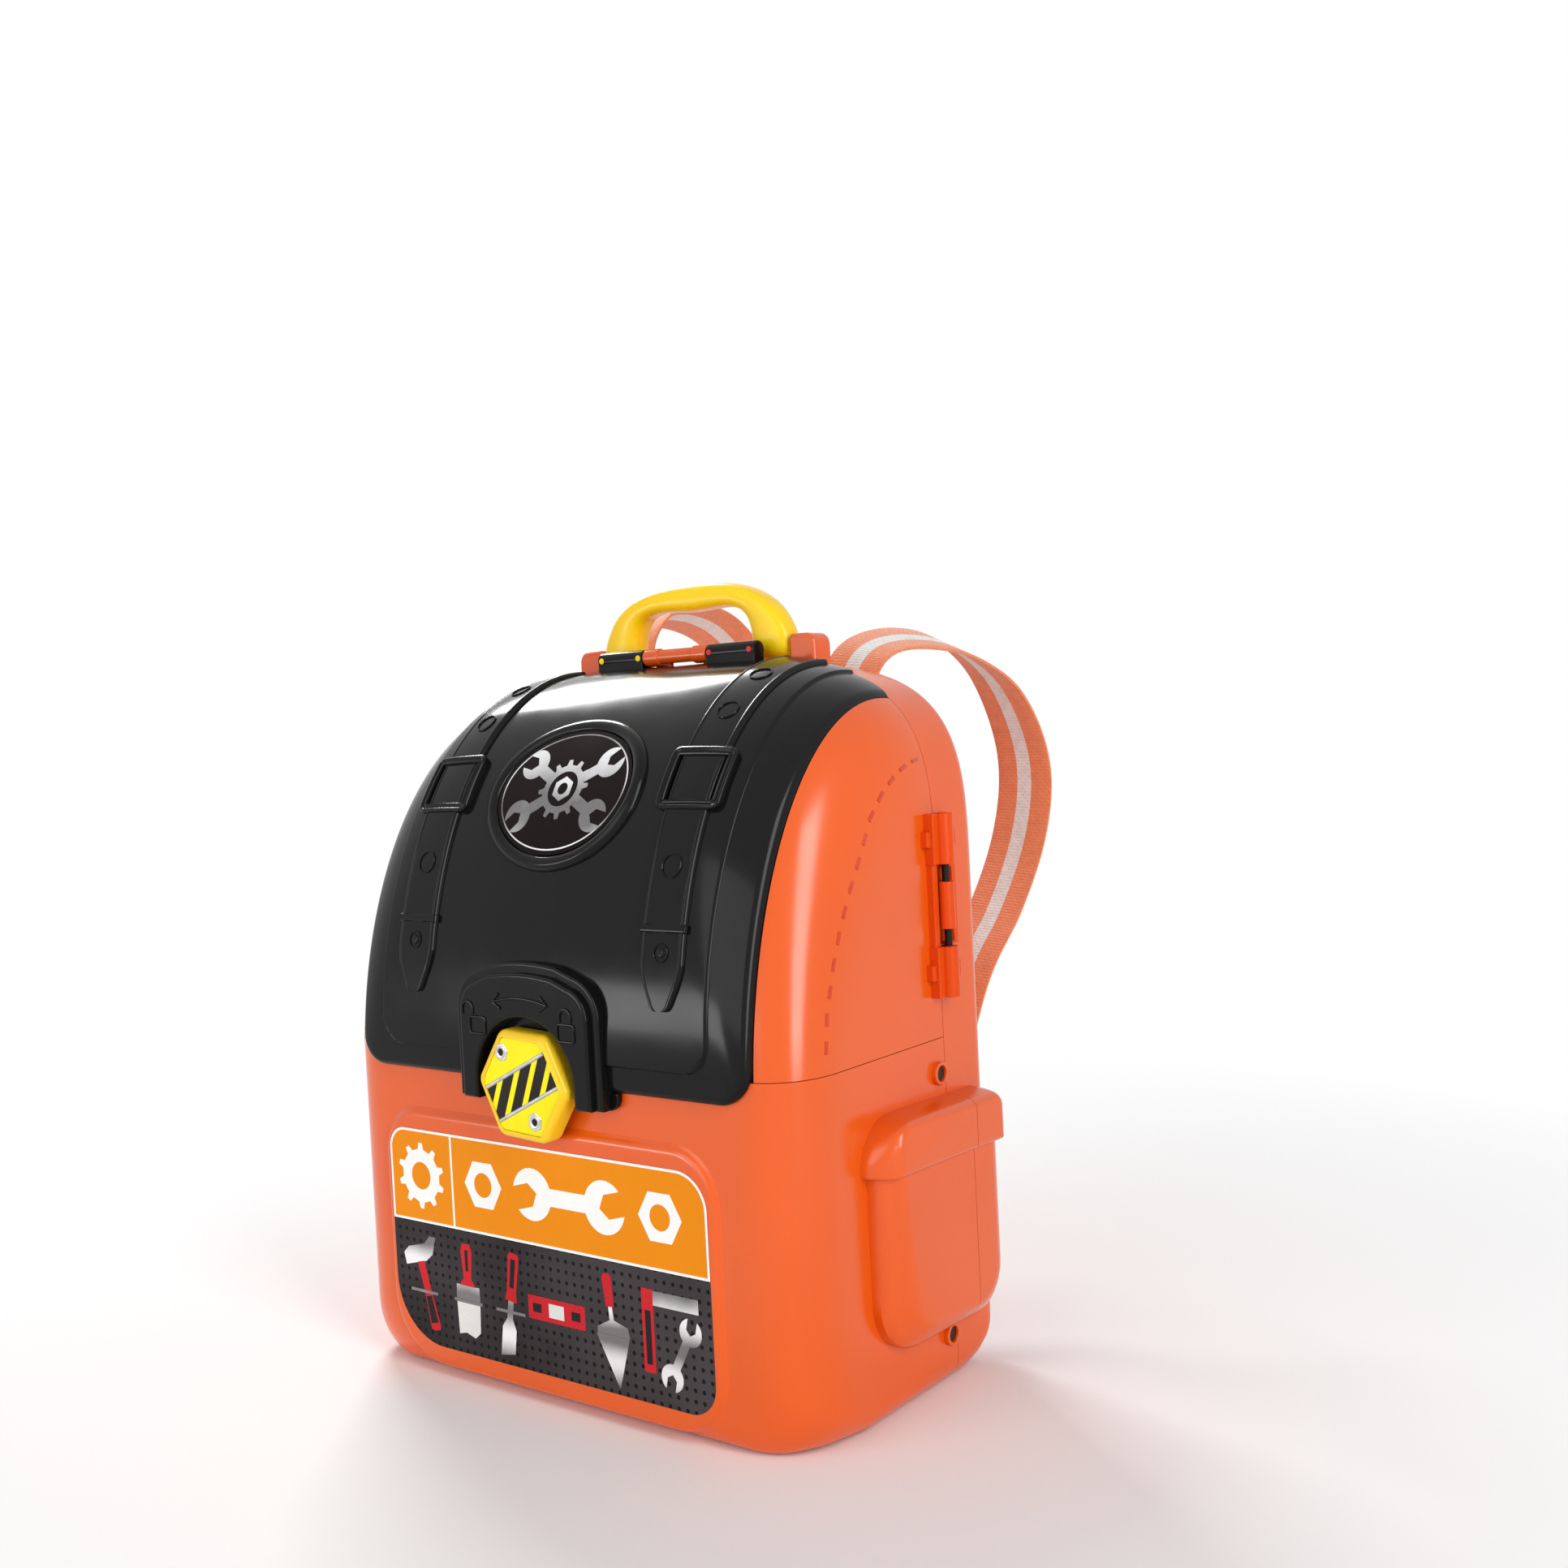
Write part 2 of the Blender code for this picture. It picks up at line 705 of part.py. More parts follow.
def make_wing_pin(side, material):
    centre = (side * WING_AXIS_X, 0.0, 0.0)
    reach = HINGE_END_CAP + FIT_GAP
    pin = rod("z", centre, HINGE_PIN_RADIUS, WING_HINGE_LOW + reach, WING_HINGE_HIGH - reach, SMALL_SIDES)
    return dress(pin, side_name(side, "hinge_pin"), material)


# Side pockets

POCKET_ROUND_SHARE = 0.8
POCKET_LEVELS_DEG = (30, 60)
# Distance from the lid's end as a share of its rounding, and how much of the lid's reach is left there
POCKET_LID_END_SHARES = ((0.0, 0.55), (0.3, 0.80), (1.0, 1.0))


def pocket_form(side, inset, base):
    """The pocket's body, swelling out from the case's side."""
    corners = [(-POCKET_FRONT, POCKET_LOW), (POCKET_REAR, POCKET_LOW),
               (POCKET_REAR, POCKET_HIGH), (-POCKET_FRONT, POCKET_HIGH)]
    radii = [POCKET_LOW_RADIUS, POCKET_LOW_RADIUS, POCKET_HIGH_RADIUS, POCKET_HIGH_RADIUS]
    round_ = POCKET_EDGE_ROUND
    rise = HALF_WIDTH + POCKET_RISE - inset
    levels = [(base, inset), (rise - round_, inset)]
    for degrees in POCKET_LEVELS_DEG:
        angle = math.radians(degrees)
        levels.append((rise - round_ + round_ * math.sin(angle),
                       inset + round_ * (1 - math.cos(angle)) * POCKET_ROUND_SHARE))
    levels.append((rise, inset + round_ * POCKET_ROUND_SHARE))
    rings = []
    for distance, shrink in levels:
        tight = [max(radius - shrink, radius / 4) for radius in radii]
        outline = rounded(inset_corners(corners, shrink), tight, 3)
        rings.append([Vector((side * distance, p.x, p.y)) for p in outline])
    return solid("pocket", rings)


def pocket_lid(side):
    """The pocket's moulded lid: a sloping top with rounded ends that overhangs the body."""
    out = HALF_WIDTH + POCKET_LID_RISE
    section = [(HALF_WIDTH - WALL / 2, POCKET_LID_LOW),
               (out - POCKET_LID_REACH / 2, POCKET_LID_LOW),
               (out, POCKET_LID_LOW + POCKET_LID_REACH),
               (out - POCKET_LID_REACH / 3, POCKET_LID_HIGH - POCKET_LID_SLOPE - POCKET_LID_REACH),
               (out - POCKET_LID_REACH * 4 / 3, POCKET_LID_HIGH - POCKET_LID_SLOPE),
               (HALF_WIDTH + POCKET_LID_REACH * 2, POCKET_LID_HIGH - POCKET_LID_SLOPE / 8),
               (HALF_WIDTH - WALL / 2, POCKET_LID_HIGH)]
    front = -POCKET_FRONT - POCKET_LID_REACH
    rear = POCKET_REAR + POCKET_LID_REACH
    places = [(front + POCKET_LID_ROUND * share, reach) for share, reach in POCKET_LID_END_SHARES]
    places += [(rear - POCKET_LID_ROUND * share, reach) for share, reach in reversed(POCKET_LID_END_SHARES)]
    rings = []
    for y, share in places:
        ring = []
        for x, z in section:
            flat = HALF_WIDTH - WALL / 2 + (x - HALF_WIDTH + WALL / 2) * share
            drop = (1.0 - share) * POCKET_LID_REACH
            low = POCKET_LID_LOW + (z - POCKET_LID_LOW) * (1.0 - drop / (POCKET_LID_HIGH - POCKET_LID_LOW))
            ring.append(Vector((side * flat, y, low)))
        rings.append(ring)
    return solid("lid", rings)


def half_space(front):
    """A large box on one side of the seam plane, short of it by half the seam gap."""
    far = FRONT_DEPTH + BACK_DEPTH + OVERRUN
    wide = BODY_WIDTH
    if front:
        return box((-wide, -far, -OVERRUN), (wide, -HALF_SEAM, BODY_HEIGHT + OVERRUN))
    return box((-wide, HALF_SEAM, -OVERRUN), (wide, far, BODY_HEIGHT + OVERRUN))


def add_pockets(shell, front):
    """Add each pocket's half to a shell and open it to the shell's inside."""
    for side in (-1, 1):
        pocket = pocket_form(side, 0.0, HALF_WIDTH - WALL / 2)
        add(pocket, pocket_lid(side))
        keep(pocket, half_space(front))
        add(shell, pocket)
        hollow = pocket_form(side, WALL, HALF_WIDTH - WALL - FIT_GAP)
        cut(shell, hollow)


# Bin

def pad_plate(low, rise):
    half = HALF_WIDTH - PAD_SIDE_MARGIN
    corners = rectangle(PAD_OFFSET - half, PAD_BOTTOM, PAD_OFFSET + half, PAD_TOP)
    radii = [PAD_FOOT_RADIUS, PAD_FOOT_RADIUS, PAD_TOP_RADIUS, PAD_TOP_RADIUS]
    front = -FRONT_DEPTH - rise
    levels = [(low, 0.0), (front + PAD_CHAMFER, 0.0), (front, PAD_CHAMFER)]
    return plate("y", (0.0, 0.0, 0.0), corners, radii, levels, 5)


def boss_ring(side, height):
    centre = (side * HALF_WIDTH, -BOSS_FRONT, height)
    low, high = sorted((-side * WALL / 2, side * BOSS_RISE))
    return rod("x", centre, BOSS_RADIUS, low, high)


def screw_bore(side, height, radius, low, high):
    centre = (side * HALF_WIDTH, -BOSS_FRONT, height)
    a, b = sorted((side * low, side * high))
    return rod("x", centre, radius, a, b, SMALL_SIDES)


def make_bin(material):
    shell = bin_form(0.0, -HALF_SEAM, BIN_HEIGHT - HALF_SEAM)
    add(shell, pad_plate(-FRONT_DEPTH + WALL / 2, PAD_RISE))
    cut(shell, bin_form(WALL, OVERRUN, BIN_HEIGHT + OVERRUN))
    add_pockets(shell, True)
    for side in (-1, 1):
        for height in BOSS_HEIGHTS:
            add(shell, boss_ring(side, height))
            cut(shell, screw_bore(side, height, SCREW_HEAD_RADIUS + FIT_GAP,
                                  BOSS_RISE - SCREW_RECESS - SCREW_HEAD - FIT_GAP, BOSS_RISE + OVERRUN))
            cut(shell, screw_bore(side, height, SCREW_RADIUS + FIT_GAP, -OVERRUN, OVERRUN))
    cut(shell, rod("y", (0.0, 0.0, LOCK_HEIGHT), SHAFT_RADIUS + PIN_GAP,
                   -FRONT_DEPTH - OVERRUN, -FRONT_DEPTH + OVERRUN))
    return dress(shell, "lower_front_shell", material)


# Back shell

def back_form():
    """The back shell as a dish: inner face, rim at the seam, outer face and rounded back edges."""
    depth = BACK_DEPTH
    edge = BACK_EDGE_RADIUS
    under = BACK_UNDER_RADIUS
    levels = []
    for share in (0.0, 0.3, 1.0):
        distance = (edge - WALL) * share
        levels.append((depth - WALL - distance, WALL + rounding(distance, edge - WALL),
                       rounding(distance, under - WALL)))
    levels.append((depth - under, WALL, 0.0))
    levels.append((HALF_SEAM, WALL, 0.0))
    levels.append((HALF_SEAM, 0.0, 0.0))
    levels.append((depth - under, 0.0, 0.0))
    for share in (1.5, 1.0, 0.6, 0.3, 0.08, 0.0):
        distance = edge * share
        levels.append((depth - distance, rounding(distance, edge), rounding(distance, under)))
    return arch_form(levels)


def lug(side, height):
    """A lug that reaches inside the bin's wall to take a case screw."""
    low = height - LUG_HALF_HEIGHT
    high = height + LUG_HALF_HEIGHT
    inner = side * (HALF_WIDTH - WALL - LUG_THICKNESS)
    x0, x1 = sorted((inner, side * HALF_WIDTH))
    body = box((x0, -BOSS_FRONT - LUG_REACH, low), (x1, WALL * 2, high))
    keep(body, arch_form([(-FRONT_DEPTH, WALL + FIT_GAP, 0.0), (BACK_DEPTH, WALL + FIT_GAP, 0.0)]))
    root = box((x0, HALF_SEAM, low), (x1, WALL * 2, high))
    keep(root, arch_form([(-FRONT_DEPTH, WALL / 2, 0.0), (BACK_DEPTH, WALL / 2, 0.0)]))
    return add(body, root)


def top_knuckle(side):
    """One orange knuckle of the flap's hinge with the arm that carries it."""
    x0, x1 = sorted((side * TOP_KNUCKLE_INNER, side * (TOP_BLOCK_INNER - FIT_GAP)))
    barrel = rod("x", (0.0, TOP_HINGE_BACK, TOP_AXIS_Z), TOP_BARREL_RADIUS, x0, x1)
    arm = box((x0, TOP_HINGE_BACK, BODY_HEIGHT + FLAP_RISE_TOP + FIT_GAP),
              (x1, WALL, TOP_AXIS_Z + TOP_BARREL_RADIUS / 2))
    foot = box((x0, HALF_SEAM, BODY_HEIGHT - WALL / 2), (x1, WALL, TOP_AXIS_Z))
    return add(barrel, arm, foot)


def hinge_rail(low, high):
    """The strip on the back shell that runs beside a wing's barrel, with its ear."""
    rail = box((HALF_WIDTH - WALL / 2, WING_BARREL_RADIUS + 2 * FIT_GAP, low),
               (HALF_WIDTH + EAR_REACH / 2, WING_PAD_REACH, high))
    return add(rail, hinge_ear((low + high) / 2, 1))


def back_hinge():
    """The back shell's middle knuckle with two square windows through its pad."""
    low, high = hinge_spans()[1]
    knuckle = hinge_knuckle(low, high, 1)
    for height in (low + WINDOW_HEIGHT, high - WINDOW_HEIGHT):
        cut(knuckle, box((HALF_WIDTH + WALL / 2, WING_BARREL_RADIUS, height - WINDOW_HEIGHT / 2),
                         (HALF_WIDTH + WING_PAD_RISE + OVERRUN, WING_BARREL_RADIUS + WINDOW_WIDTH,
                          height + WINDOW_HEIGHT / 2)))
    return knuckle


def make_back(material):
    shell = back_form()
    add_pockets(shell, False)
    for side in (-1, 1):
        for height in BOSS_HEIGHTS:
            add(shell, lug(side, height))
            cut(shell, screw_bore(side, height, SCREW_RADIUS + PIN_GAP,
                                  -SCREW_LENGTH - OVERRUN, OVERRUN))
        add(shell, mirrored(back_hinge(), side))
        lower, middle, upper = hinge_spans()
        for low, high in (lower, upper):
            add(shell, mirrored(hinge_rail(low, high), side))
        low, high = middle
        cut(shell, rod("z", (side * WING_AXIS_X, 0.0, 0.0), HINGE_PIN_RADIUS + PIN_GAP,
                       low - OVERRUN / 2, high + OVERRUN / 2, SMALL_SIDES))
    bar = rod("x", (0.0, TOP_HINGE_BACK, TOP_AXIS_Z), TOP_BAR_RADIUS,
              -TOP_KNUCKLE_INNER - WALL / 2, TOP_KNUCKLE_INNER + WALL / 2)
    knuckles = top_knuckle(-1)
    add(knuckles, bar, top_knuckle(1))
    add(shell, knuckles)
    cut(shell, rod("x", (0.0, TOP_HINGE_BACK, TOP_AXIS_Z), HINGE_PIN_RADIUS + PIN_GAP,
                   -TOP_BLOCK_INNER - OVERRUN, TOP_BLOCK_INNER + OVERRUN, SMALL_SIDES))
    return dress(shell, "back_shell", material)


# Flap

FLAP_UPS_SHARE = (0.11, 0.17, 0.24, 0.31, 0.38, 0.45, 0.52, 0.59, 0.66, 0.73, 0.80, 0.87, 0.94, 1.0)
FLAP_XS_SHARE = (0.0, 0.27, 0.50, 0.68, 0.82, 0.92, 1.0)
FLAP_EDGE_DROP_SHARE = 0.8


def panel_half():
    return FLAP_HALF - HALF_SEAM - PANEL_SIDE_MARGIN


def panel_drop(x, over):
    """The flap's border lies a small step below its panel; over is the distance from the lower edge."""
    side = (abs(x) - panel_half()) / PANEL_SLOPE
    low = (PANEL_LOW_MARGIN - over) / PANEL_SLOPE
    return PANEL_STEP * max(0.0, min(1.0, max(side, low)))


def flap_lines():
    """Lateral places of the flap's rings, close together where its edge rounds over."""
    half = FLAP_HALF - HALF_SEAM
    edge = half - FLAP_EDGE_ROUND
    skirt = half - FLAP_SKIRT_WIDTH
    panel = panel_half()
    right = [panel * share for share in FLAP_XS_SHARE]
    right += [panel + PANEL_SLOPE, (panel + skirt) / 2, skirt - FIT_GAP, skirt, edge + FIT_GAP * 2, half]
    left = [-x for x in reversed(right[1:])]
    return left + right


def flap_bottom(x):
    """The flap's lower edge, which rises round the bottom corners."""
    over = abs(x) - (FLAP_HALF - HALF_SEAM - FLAP_CORNER_RADIUS)
    if over <= 0.0:
        return -FLAP_OVERLAP
    over = min(over, FLAP_CORNER_RADIUS)
    return -FLAP_OVERLAP + FLAP_CORNER_RADIUS - math.sqrt(FLAP_CORNER_RADIUS ** 2 - over ** 2)


def flap_ring(x):
    half = FLAP_HALF - HALF_SEAM
    bottom = flap_bottom(x)
    step = SEAM_GAP + HALF_SEAM
    blend = PROFILE_LENGTH * FLAP_UPS_SHARE[0]
    lows = [-FLAP_OVERLAP, -FLAP_OVERLAP + FLAP_EDGE_ROUND, step, step + FIT_GAP / 2,
            PANEL_LOW_MARGIN - PANEL_SLOPE - FLAP_OVERLAP, PANEL_LOW_MARGIN - FLAP_OVERLAP,
            FLAP_LIP, FLAP_LIP + FIT_GAP / 2]
    ups = [bottom + (low + FLAP_OVERLAP) * (blend - bottom) / (blend + FLAP_OVERLAP) for low in lows]
    ups += [PROFILE_LENGTH * share for share in FLAP_UPS_SHARE]
    rolled = max(0.0, abs(x) - (half - FLAP_EDGE_ROUND)) / FLAP_EDGE_ROUND
    in_skirt = abs(x) >= half - FLAP_SKIRT_WIDTH - FIT_GAP / 10
    outer = []
    inner = []
    for k, up in enumerate(ups):
        edge = FLAP_EDGE_ROUND * FLAP_EDGE_DROP_SHARE * (1.0 if k == 0 else rolled)
        drop = panel_drop(x, lows[k] + FLAP_OVERLAP) if k < len(lows) else panel_drop(x, PANEL_LOW_MARGIN)
        outer.append(skin(station(up), x, flap_rise(up) - edge - drop))
        if k < 3:
            depth = FIT_GAP
        elif in_skirt or k < 7:
            depth = -FLAP_SKIRT
        else:
            depth = flap_rise(up) - FLAP_WALL
        inner.append(skin(station(up), x, depth))
    ring = outer + inner[::-1]
    back = -HALF_SEAM
    return [Vector((p.x, min(p.y, back), p.z)) for p in ring]


def keeper(side):
    """The loop that holds a belt's tongue, a low bar across the belt."""
    half = BELT_WIDTH / 2 + KEEPER_OVERHANG
    middle = side * BELT_OFFSET
    rings = []
    for x in (middle - half, middle, middle + half):
        low = KEEPER_UP - KEEPER_LENGTH / 2
        high = KEEPER_UP + KEEPER_LENGTH / 2
        rings.append([on_flap(x, low, -BELT_SINK), on_flap(x, low + BELT_CHAMFER, KEEPER_RISE),
                      on_flap(x, high - BELT_CHAMFER, KEEPER_RISE), on_flap(x, high, -BELT_SINK)])
    return solid("keeper", rings)


# The tongue's outline: distance from its tip as a share of the taper, then its gain in width
BELT_TIP_SHARES = ((0.0, -0.495), (0.12, 0.0), (0.45, 0.6), (1.0, 1.0))
BELT_STEPS = 11


def belt(side):
    """A moulded belt that runs over the flap and ends in a tapered tongue."""
    ups = [BELT_TIP_UP + BELT_TIP_TAPER * share for share, _ in BELT_TIP_SHARES]
    widths = [BELT_TIP_WIDTH + (BELT_WIDTH - BELT_TIP_WIDTH) * gain for _, gain in BELT_TIP_SHARES]
    start = ups[-1]
    end = PROFILE_LENGTH - BELT_REAR_MARGIN
    for i in range(1, BELT_STEPS + 1):
        ups.append(start + (end - start) * i / BELT_STEPS)
        widths.append(BELT_WIDTH)
    rings = []
    for up, width in zip(ups, widths):
        half = width / 2
        middle = side * BELT_OFFSET
        top = half - BELT_CHAMFER
        ring = [on_flap(middle - half, up, -BELT_SINK), on_flap(middle - top, up, BELT_RISE),
                on_flap(middle, up, BELT_RISE), on_flap(middle + top, up, BELT_RISE),
                on_flap(middle + half, up, -BELT_SINK)]
        rings.append(ring)
    return solid("belt", rings)


def raised_frame(centre_x, centre_up, outline, bar, rise, sink, chamfer):
    """A raised frame that follows the flap; outline(inset) gives its edge as (x, up) offsets."""
    loops = []
    for inset, height in ((0.0, -sink), (0.0, rise - chamfer), (chamfer, rise),
                          (bar - chamfer, rise), (bar, rise - chamfer), (bar, -sink)):
        loops.append([on_flap(centre_x + p.x, centre_up + p.y, height) for p in outline(inset)])
    return ring_solid("frame", loops)


def buckle(side):
    half_x = BUCKLE_WIDTH / 2
    half_u = BUCKLE_LENGTH / 2

    def outline(inset):
        corners = inset_corners(rectangle(-half_x, -half_u, half_x, half_u), inset)
        return rounded(corners, [max(BUCKLE_RADIUS - inset, BUCKLE_CHAMFER)] * 4, 3)

    return raised_frame(side * BELT_OFFSET, BUCKLE_UP, outline, BUCKLE_BAR, BUCKLE_RISE,
                        BELT_SINK, BUCKLE_CHAMFER)


EMBLEM_SIDES = 32


def oval(half_width, half_length):
    points = []
    for i in range(EMBLEM_SIDES):
        angle = math.tau * i / EMBLEM_SIDES
        points.append(Vector((half_width * math.cos(angle), half_length * math.sin(angle))))
    return points


def emblem_ring():
    return raised_frame(0.0, EMBLEM_UP,
                        lambda inset: oval(EMBLEM_HALF_WIDTH - inset, EMBLEM_HALF_LENGTH - inset),
                        EMBLEM_RING_WIDTH, EMBLEM_RISE, BELT_SINK, EMBLEM_CHAMFER)


def make_disc(material):
    """The emblem's disc, a thin curved plate inside the ring."""
    margin = EMBLEM_RING_WIDTH + FIT_GAP
    wide = EMBLEM_HALF_WIDTH - margin
    long = EMBLEM_HALF_LENGTH - margin
    mesh = bmesh.new()
    layers = []
    for height in (FIT_GAP, DISC_RISE):
        middle = mesh.verts.new(on_flap(0.0, EMBLEM_UP, height))
        loops = []
        for share in (0.5, 1.0):
            loops.append([mesh.verts.new(on_flap(p.x, EMBLEM_UP + p.y, height))
                          for p in oval(wide * share, long * share)])
        for i in range(EMBLEM_SIDES):
            j = (i + 1) % EMBLEM_SIDES
            mesh.faces.new((middle, loops[0][i], loops[0][j]))
            mesh.faces.new((loops[0][i], loops[1][i], loops[1][j], loops[0][j]))
        layers.append(loops[1])
    for i in range(EMBLEM_SIDES):
        j = (i + 1) % EMBLEM_SIDES
        mesh.faces.new((layers[0][i], layers[0][j], layers[1][j], layers[1][i]))
    return dress(finish_mesh("disc", mesh), "emblem_disc", material)


def hasp_corners(grow):
    """The lock plate's outline: straight legs and a crowned top."""
    half = HASP_HALF_WIDTH + grow
    crown = half / 2
    return [(-half, HASP_BOTTOM), (half, HASP_BOTTOM), (half, HASP_TOP + grow - HASP_CROWN),
            (crown, HASP_TOP + grow), (-crown, HASP_TOP + grow), (-half, HASP_TOP + grow - HASP_CROWN)]


def hasp_radii(grow):
    top = HASP_CORNER_RADIUS + grow
    return [HASP_LEG_RADIUS, HASP_LEG_RADIUS, top, HASP_HALF_WIDTH, HASP_HALF_WIDTH, top]


def slot_cutter(depth_low, depth_high, half, top_centre, steps=10):
    """A U-shaped cutter, round at the top and open below."""
    points = [Vector((-half, HASP_BOTTOM - OVERRUN)), Vector((half, HASP_BOTTOM - OVERRUN))]
    for i in range(steps + 1):
        angle = math.pi * i / steps
        points.append(Vector((half * math.cos(angle), top_centre + half * math.sin(angle))))
    rings = [[Vector((p.x, y, p.y)) for p in points] for y in (depth_low, depth_high)]
    return solid("slot", rings)


def flap_face():
    """Where the flap's outer face stands at the lock."""
    return -FRONT_DEPTH - FLAP_RISE_LOW


def hasp_back():
    return -FRONT_DEPTH - FIT_GAP - LOCK_BASE_THICKNESS - FIT_GAP


def make_flap(material):
    flap = solid("flap", [flap_ring(x) for x in flap_lines()])
    for side in (-1, 1):
        add(flap, belt(side))
        add(flap, keeper(side))
        add(flap, buckle(side))
    add(flap, emblem_ring())
    grow = HASP_STEP + HASP_GAP
    corners = hasp_corners(grow)
    below = min(HASP_BOTTOM, BIN_HEIGHT - FLAP_OVERLAP) - OVERRUN
    corners[0] = (corners[0][0], below)
    corners[1] = (corners[1][0], below)
    notch = plate("y", (0.0, 0.0, 0.0), corners, hasp_radii(grow),
                  [(-FRONT_DEPTH + OVERRUN * 1.5, 0.0), (-FRONT_DEPTH - OVERRUN * 1.5, 0.0)], 5)
    cut(flap, notch)
    for side in (-1, 1):
        x0, x1 = sorted((side * TOP_BLOCK_INNER, side * TOP_BLOCK_OUTER))
        centre = (0.0, TOP_HINGE_BACK, TOP_AXIS_Z)
        block = rod("x", centre, TOP_BARREL_RADIUS, x0, x1)
        web = box((x0, TOP_HINGE_BACK - TOP_WEB_HALF, BODY_HEIGHT + FLAP_RISE_TOP / 5),
                  (x1, TOP_HINGE_BACK + TOP_WEB_HALF, TOP_AXIS_Z))
        add(block, web)
        add(flap, block)
        reach = sorted((side * (TOP_BLOCK_INNER - OVERRUN), side * (TOP_BLOCK_OUTER - HINGE_END_CAP)))
        cut(flap, rod("x", centre, HINGE_PIN_RADIUS + PIN_GAP, reach[0], reach[1], SMALL_SIDES))
    return dress(flap, "front_flap", material)


def make_flap_pin(material):
    reach = TOP_BLOCK_OUTER - HINGE_END_CAP - FIT_GAP
    pin = rod("x", (0.0, TOP_HINGE_BACK, TOP_AXIS_Z), HINGE_PIN_RADIUS, -reach, reach, SMALL_SIDES)
    return dress(pin, "flap_hinge_pin", material)


# Turn lock

def make_hasp(material):
    back = hasp_back()
    face = flap_face()
    step_face = face - HASP_STEP_RISE
    front = face - HASP_RISE
    lower = plate("y", (0.0, 0.0, 0.0), hasp_corners(HASP_STEP), hasp_radii(HASP_STEP),
                  [(back, 0.0), (step_face + HASP_CHAMFER, 0.0), (step_face, HASP_CHAMFER)], 5)
    upper = plate("y", (0.0, 0.0, 0.0), hasp_corners(0.0), hasp_radii(0.0),
                  [(back - FIT_GAP, 0.0), (front + HASP_CHAMFER, 0.0), (front, HASP_CHAMFER)], 5)
    add(lower, upper)
    half = SLOT_HALF_WIDTH
    cut(lower, slot_cutter(back + OVERRUN, front - OVERRUN, half, LOCK_HEIGHT + FIT_GAP))
    return dress(lower, "flap_lock_plate", material)


def lock_base_outline():
    """A low rectangle under the flap's edge, narrower between its notch, with a round top."""
    wide = LOCK_BASE_HALF_WIDTH
    narrow = HASP_HALF_WIDTH + HASP_STEP
    foot = LOCK_BASE_FOOT_RADIUS
    under = BIN_HEIGHT - FLAP_OVERLAP - FIT_GAP
    top = BIN_HEIGHT - SEAM_GAP
    half = []
    for i in range(5):
        angle = math.pi / 2 * (i / 4 - 1)
        half.append((wide - foot + foot * math.cos(angle),
                     LOCK_BASE_BOTTOM + foot + foot * math.sin(angle)))
    half += [(wide, under), (narrow, under), (narrow, top)]
    start = math.asin(max(0.0, min(1.0, (top - LOCK_HEIGHT) / LOCK_BASE_RADIUS)))
    for i in range(7):
        angle = start + (math.pi / 2 - start) * i / 7
        half.append((LOCK_BASE_RADIUS * math.cos(angle), LOCK_HEIGHT + LOCK_BASE_RADIUS * math.sin(angle)))
    return half + [(0.0, LOCK_HEIGHT + LOCK_BASE_RADIUS)] + [(-x, z) for x, z in reversed(half)]


def make_lock_base(material):
    """The fixed plate behind the knob."""
    back = -FRONT_DEPTH - FIT_GAP
    front = back - LOCK_BASE_THICKNESS
    base = solid("base", [[Vector((x, y, z)) for x, z in lock_base_outline()] for y in (front, back)])
    cut(base, rod("y", (0.0, 0.0, LOCK_HEIGHT), SHAFT_RADIUS + PIN_GAP, front - OVERRUN, back + OVERRUN))
    return dress(base, "lock_base", material)


def hexagon(radius):
    """A hexagon with a corner at each side, turned to the lock's resting tilt."""
    tilt = math.radians(KNOB_TILT_DEG)
    return [(radius * math.cos(math.tau * i / 6 + tilt), radius * math.sin(math.tau * i / 6 + tilt))
            for i in range(6)]


def knob_front():
    return flap_face() - HASP_RISE - KNOB_RISE


KNOB_BEVEL_SHARE = 0.42


def make_knob(material):
    back = hasp_back() + FIT_GAP / 2
    front = knob_front()
    centre = (0.0, 0.0, LOCK_HEIGHT)
    corners = hexagon(KNOB_RADIUS)
    radii = [KNOB_CORNER_RADIUS] * 6
    chamfer = KNOB_CHAMFER
    levels = [(back, chamfer / 6), (back - chamfer / 6, 0.0), (front + chamfer, 0.0),
              (front + chamfer * KNOB_BEVEL_SHARE, chamfer * (1 - KNOB_BEVEL_SHARE) ** 2), (front, chamfer),
              (front, chamfer + KNOB_RIM), (front + KNOB_FACE_THICKNESS, chamfer + KNOB_RIM)]
    rings = []
    for distance, inset in levels:
        outline = rounded(inset_corners(corners, inset), [max(r - inset, r / 4) for r in radii], 4)
        rings.append([along("y", centre, p.x, p.y, distance) for p in outline])
    knob = solid("knob", rings)
    inside = -FRONT_DEPTH + WALL + FIT_GAP
    add(knob, rod("y", centre, SHAFT_RADIUS, back - WALL / 2, inside))
    cut(knob, rod("y", centre, LOCK_SCREW_RADIUS + FIT_GAP, inside - LOCK_SCREW_LENGTH - FIT_GAP,
                  inside + OVERRUN, SMALL_SIDES))
    return dress(knob, "knob", material)


def make_knob_face(material):
    """The printed plate in the knob's rim."""
    front = knob_front()
    corners = hexagon(KNOB_RADIUS)
    inset = KNOB_CHAMFER + KNOB_RIM + FIT_GAP
    outline = rounded(inset_corners(corners, inset), [KNOB_CORNER_RADIUS / 4] * 6, 4)
    centre = (0.0, 0.0, LOCK_HEIGHT)
    levels = (front + FIT_GAP / 3, front + KNOB_FACE_THICKNESS - FIT_GAP)
    rings = [[along("y", centre, p.x, p.y, y) for p in outline] for y in levels]
    return dress(solid("face", rings), "knob_face", material)


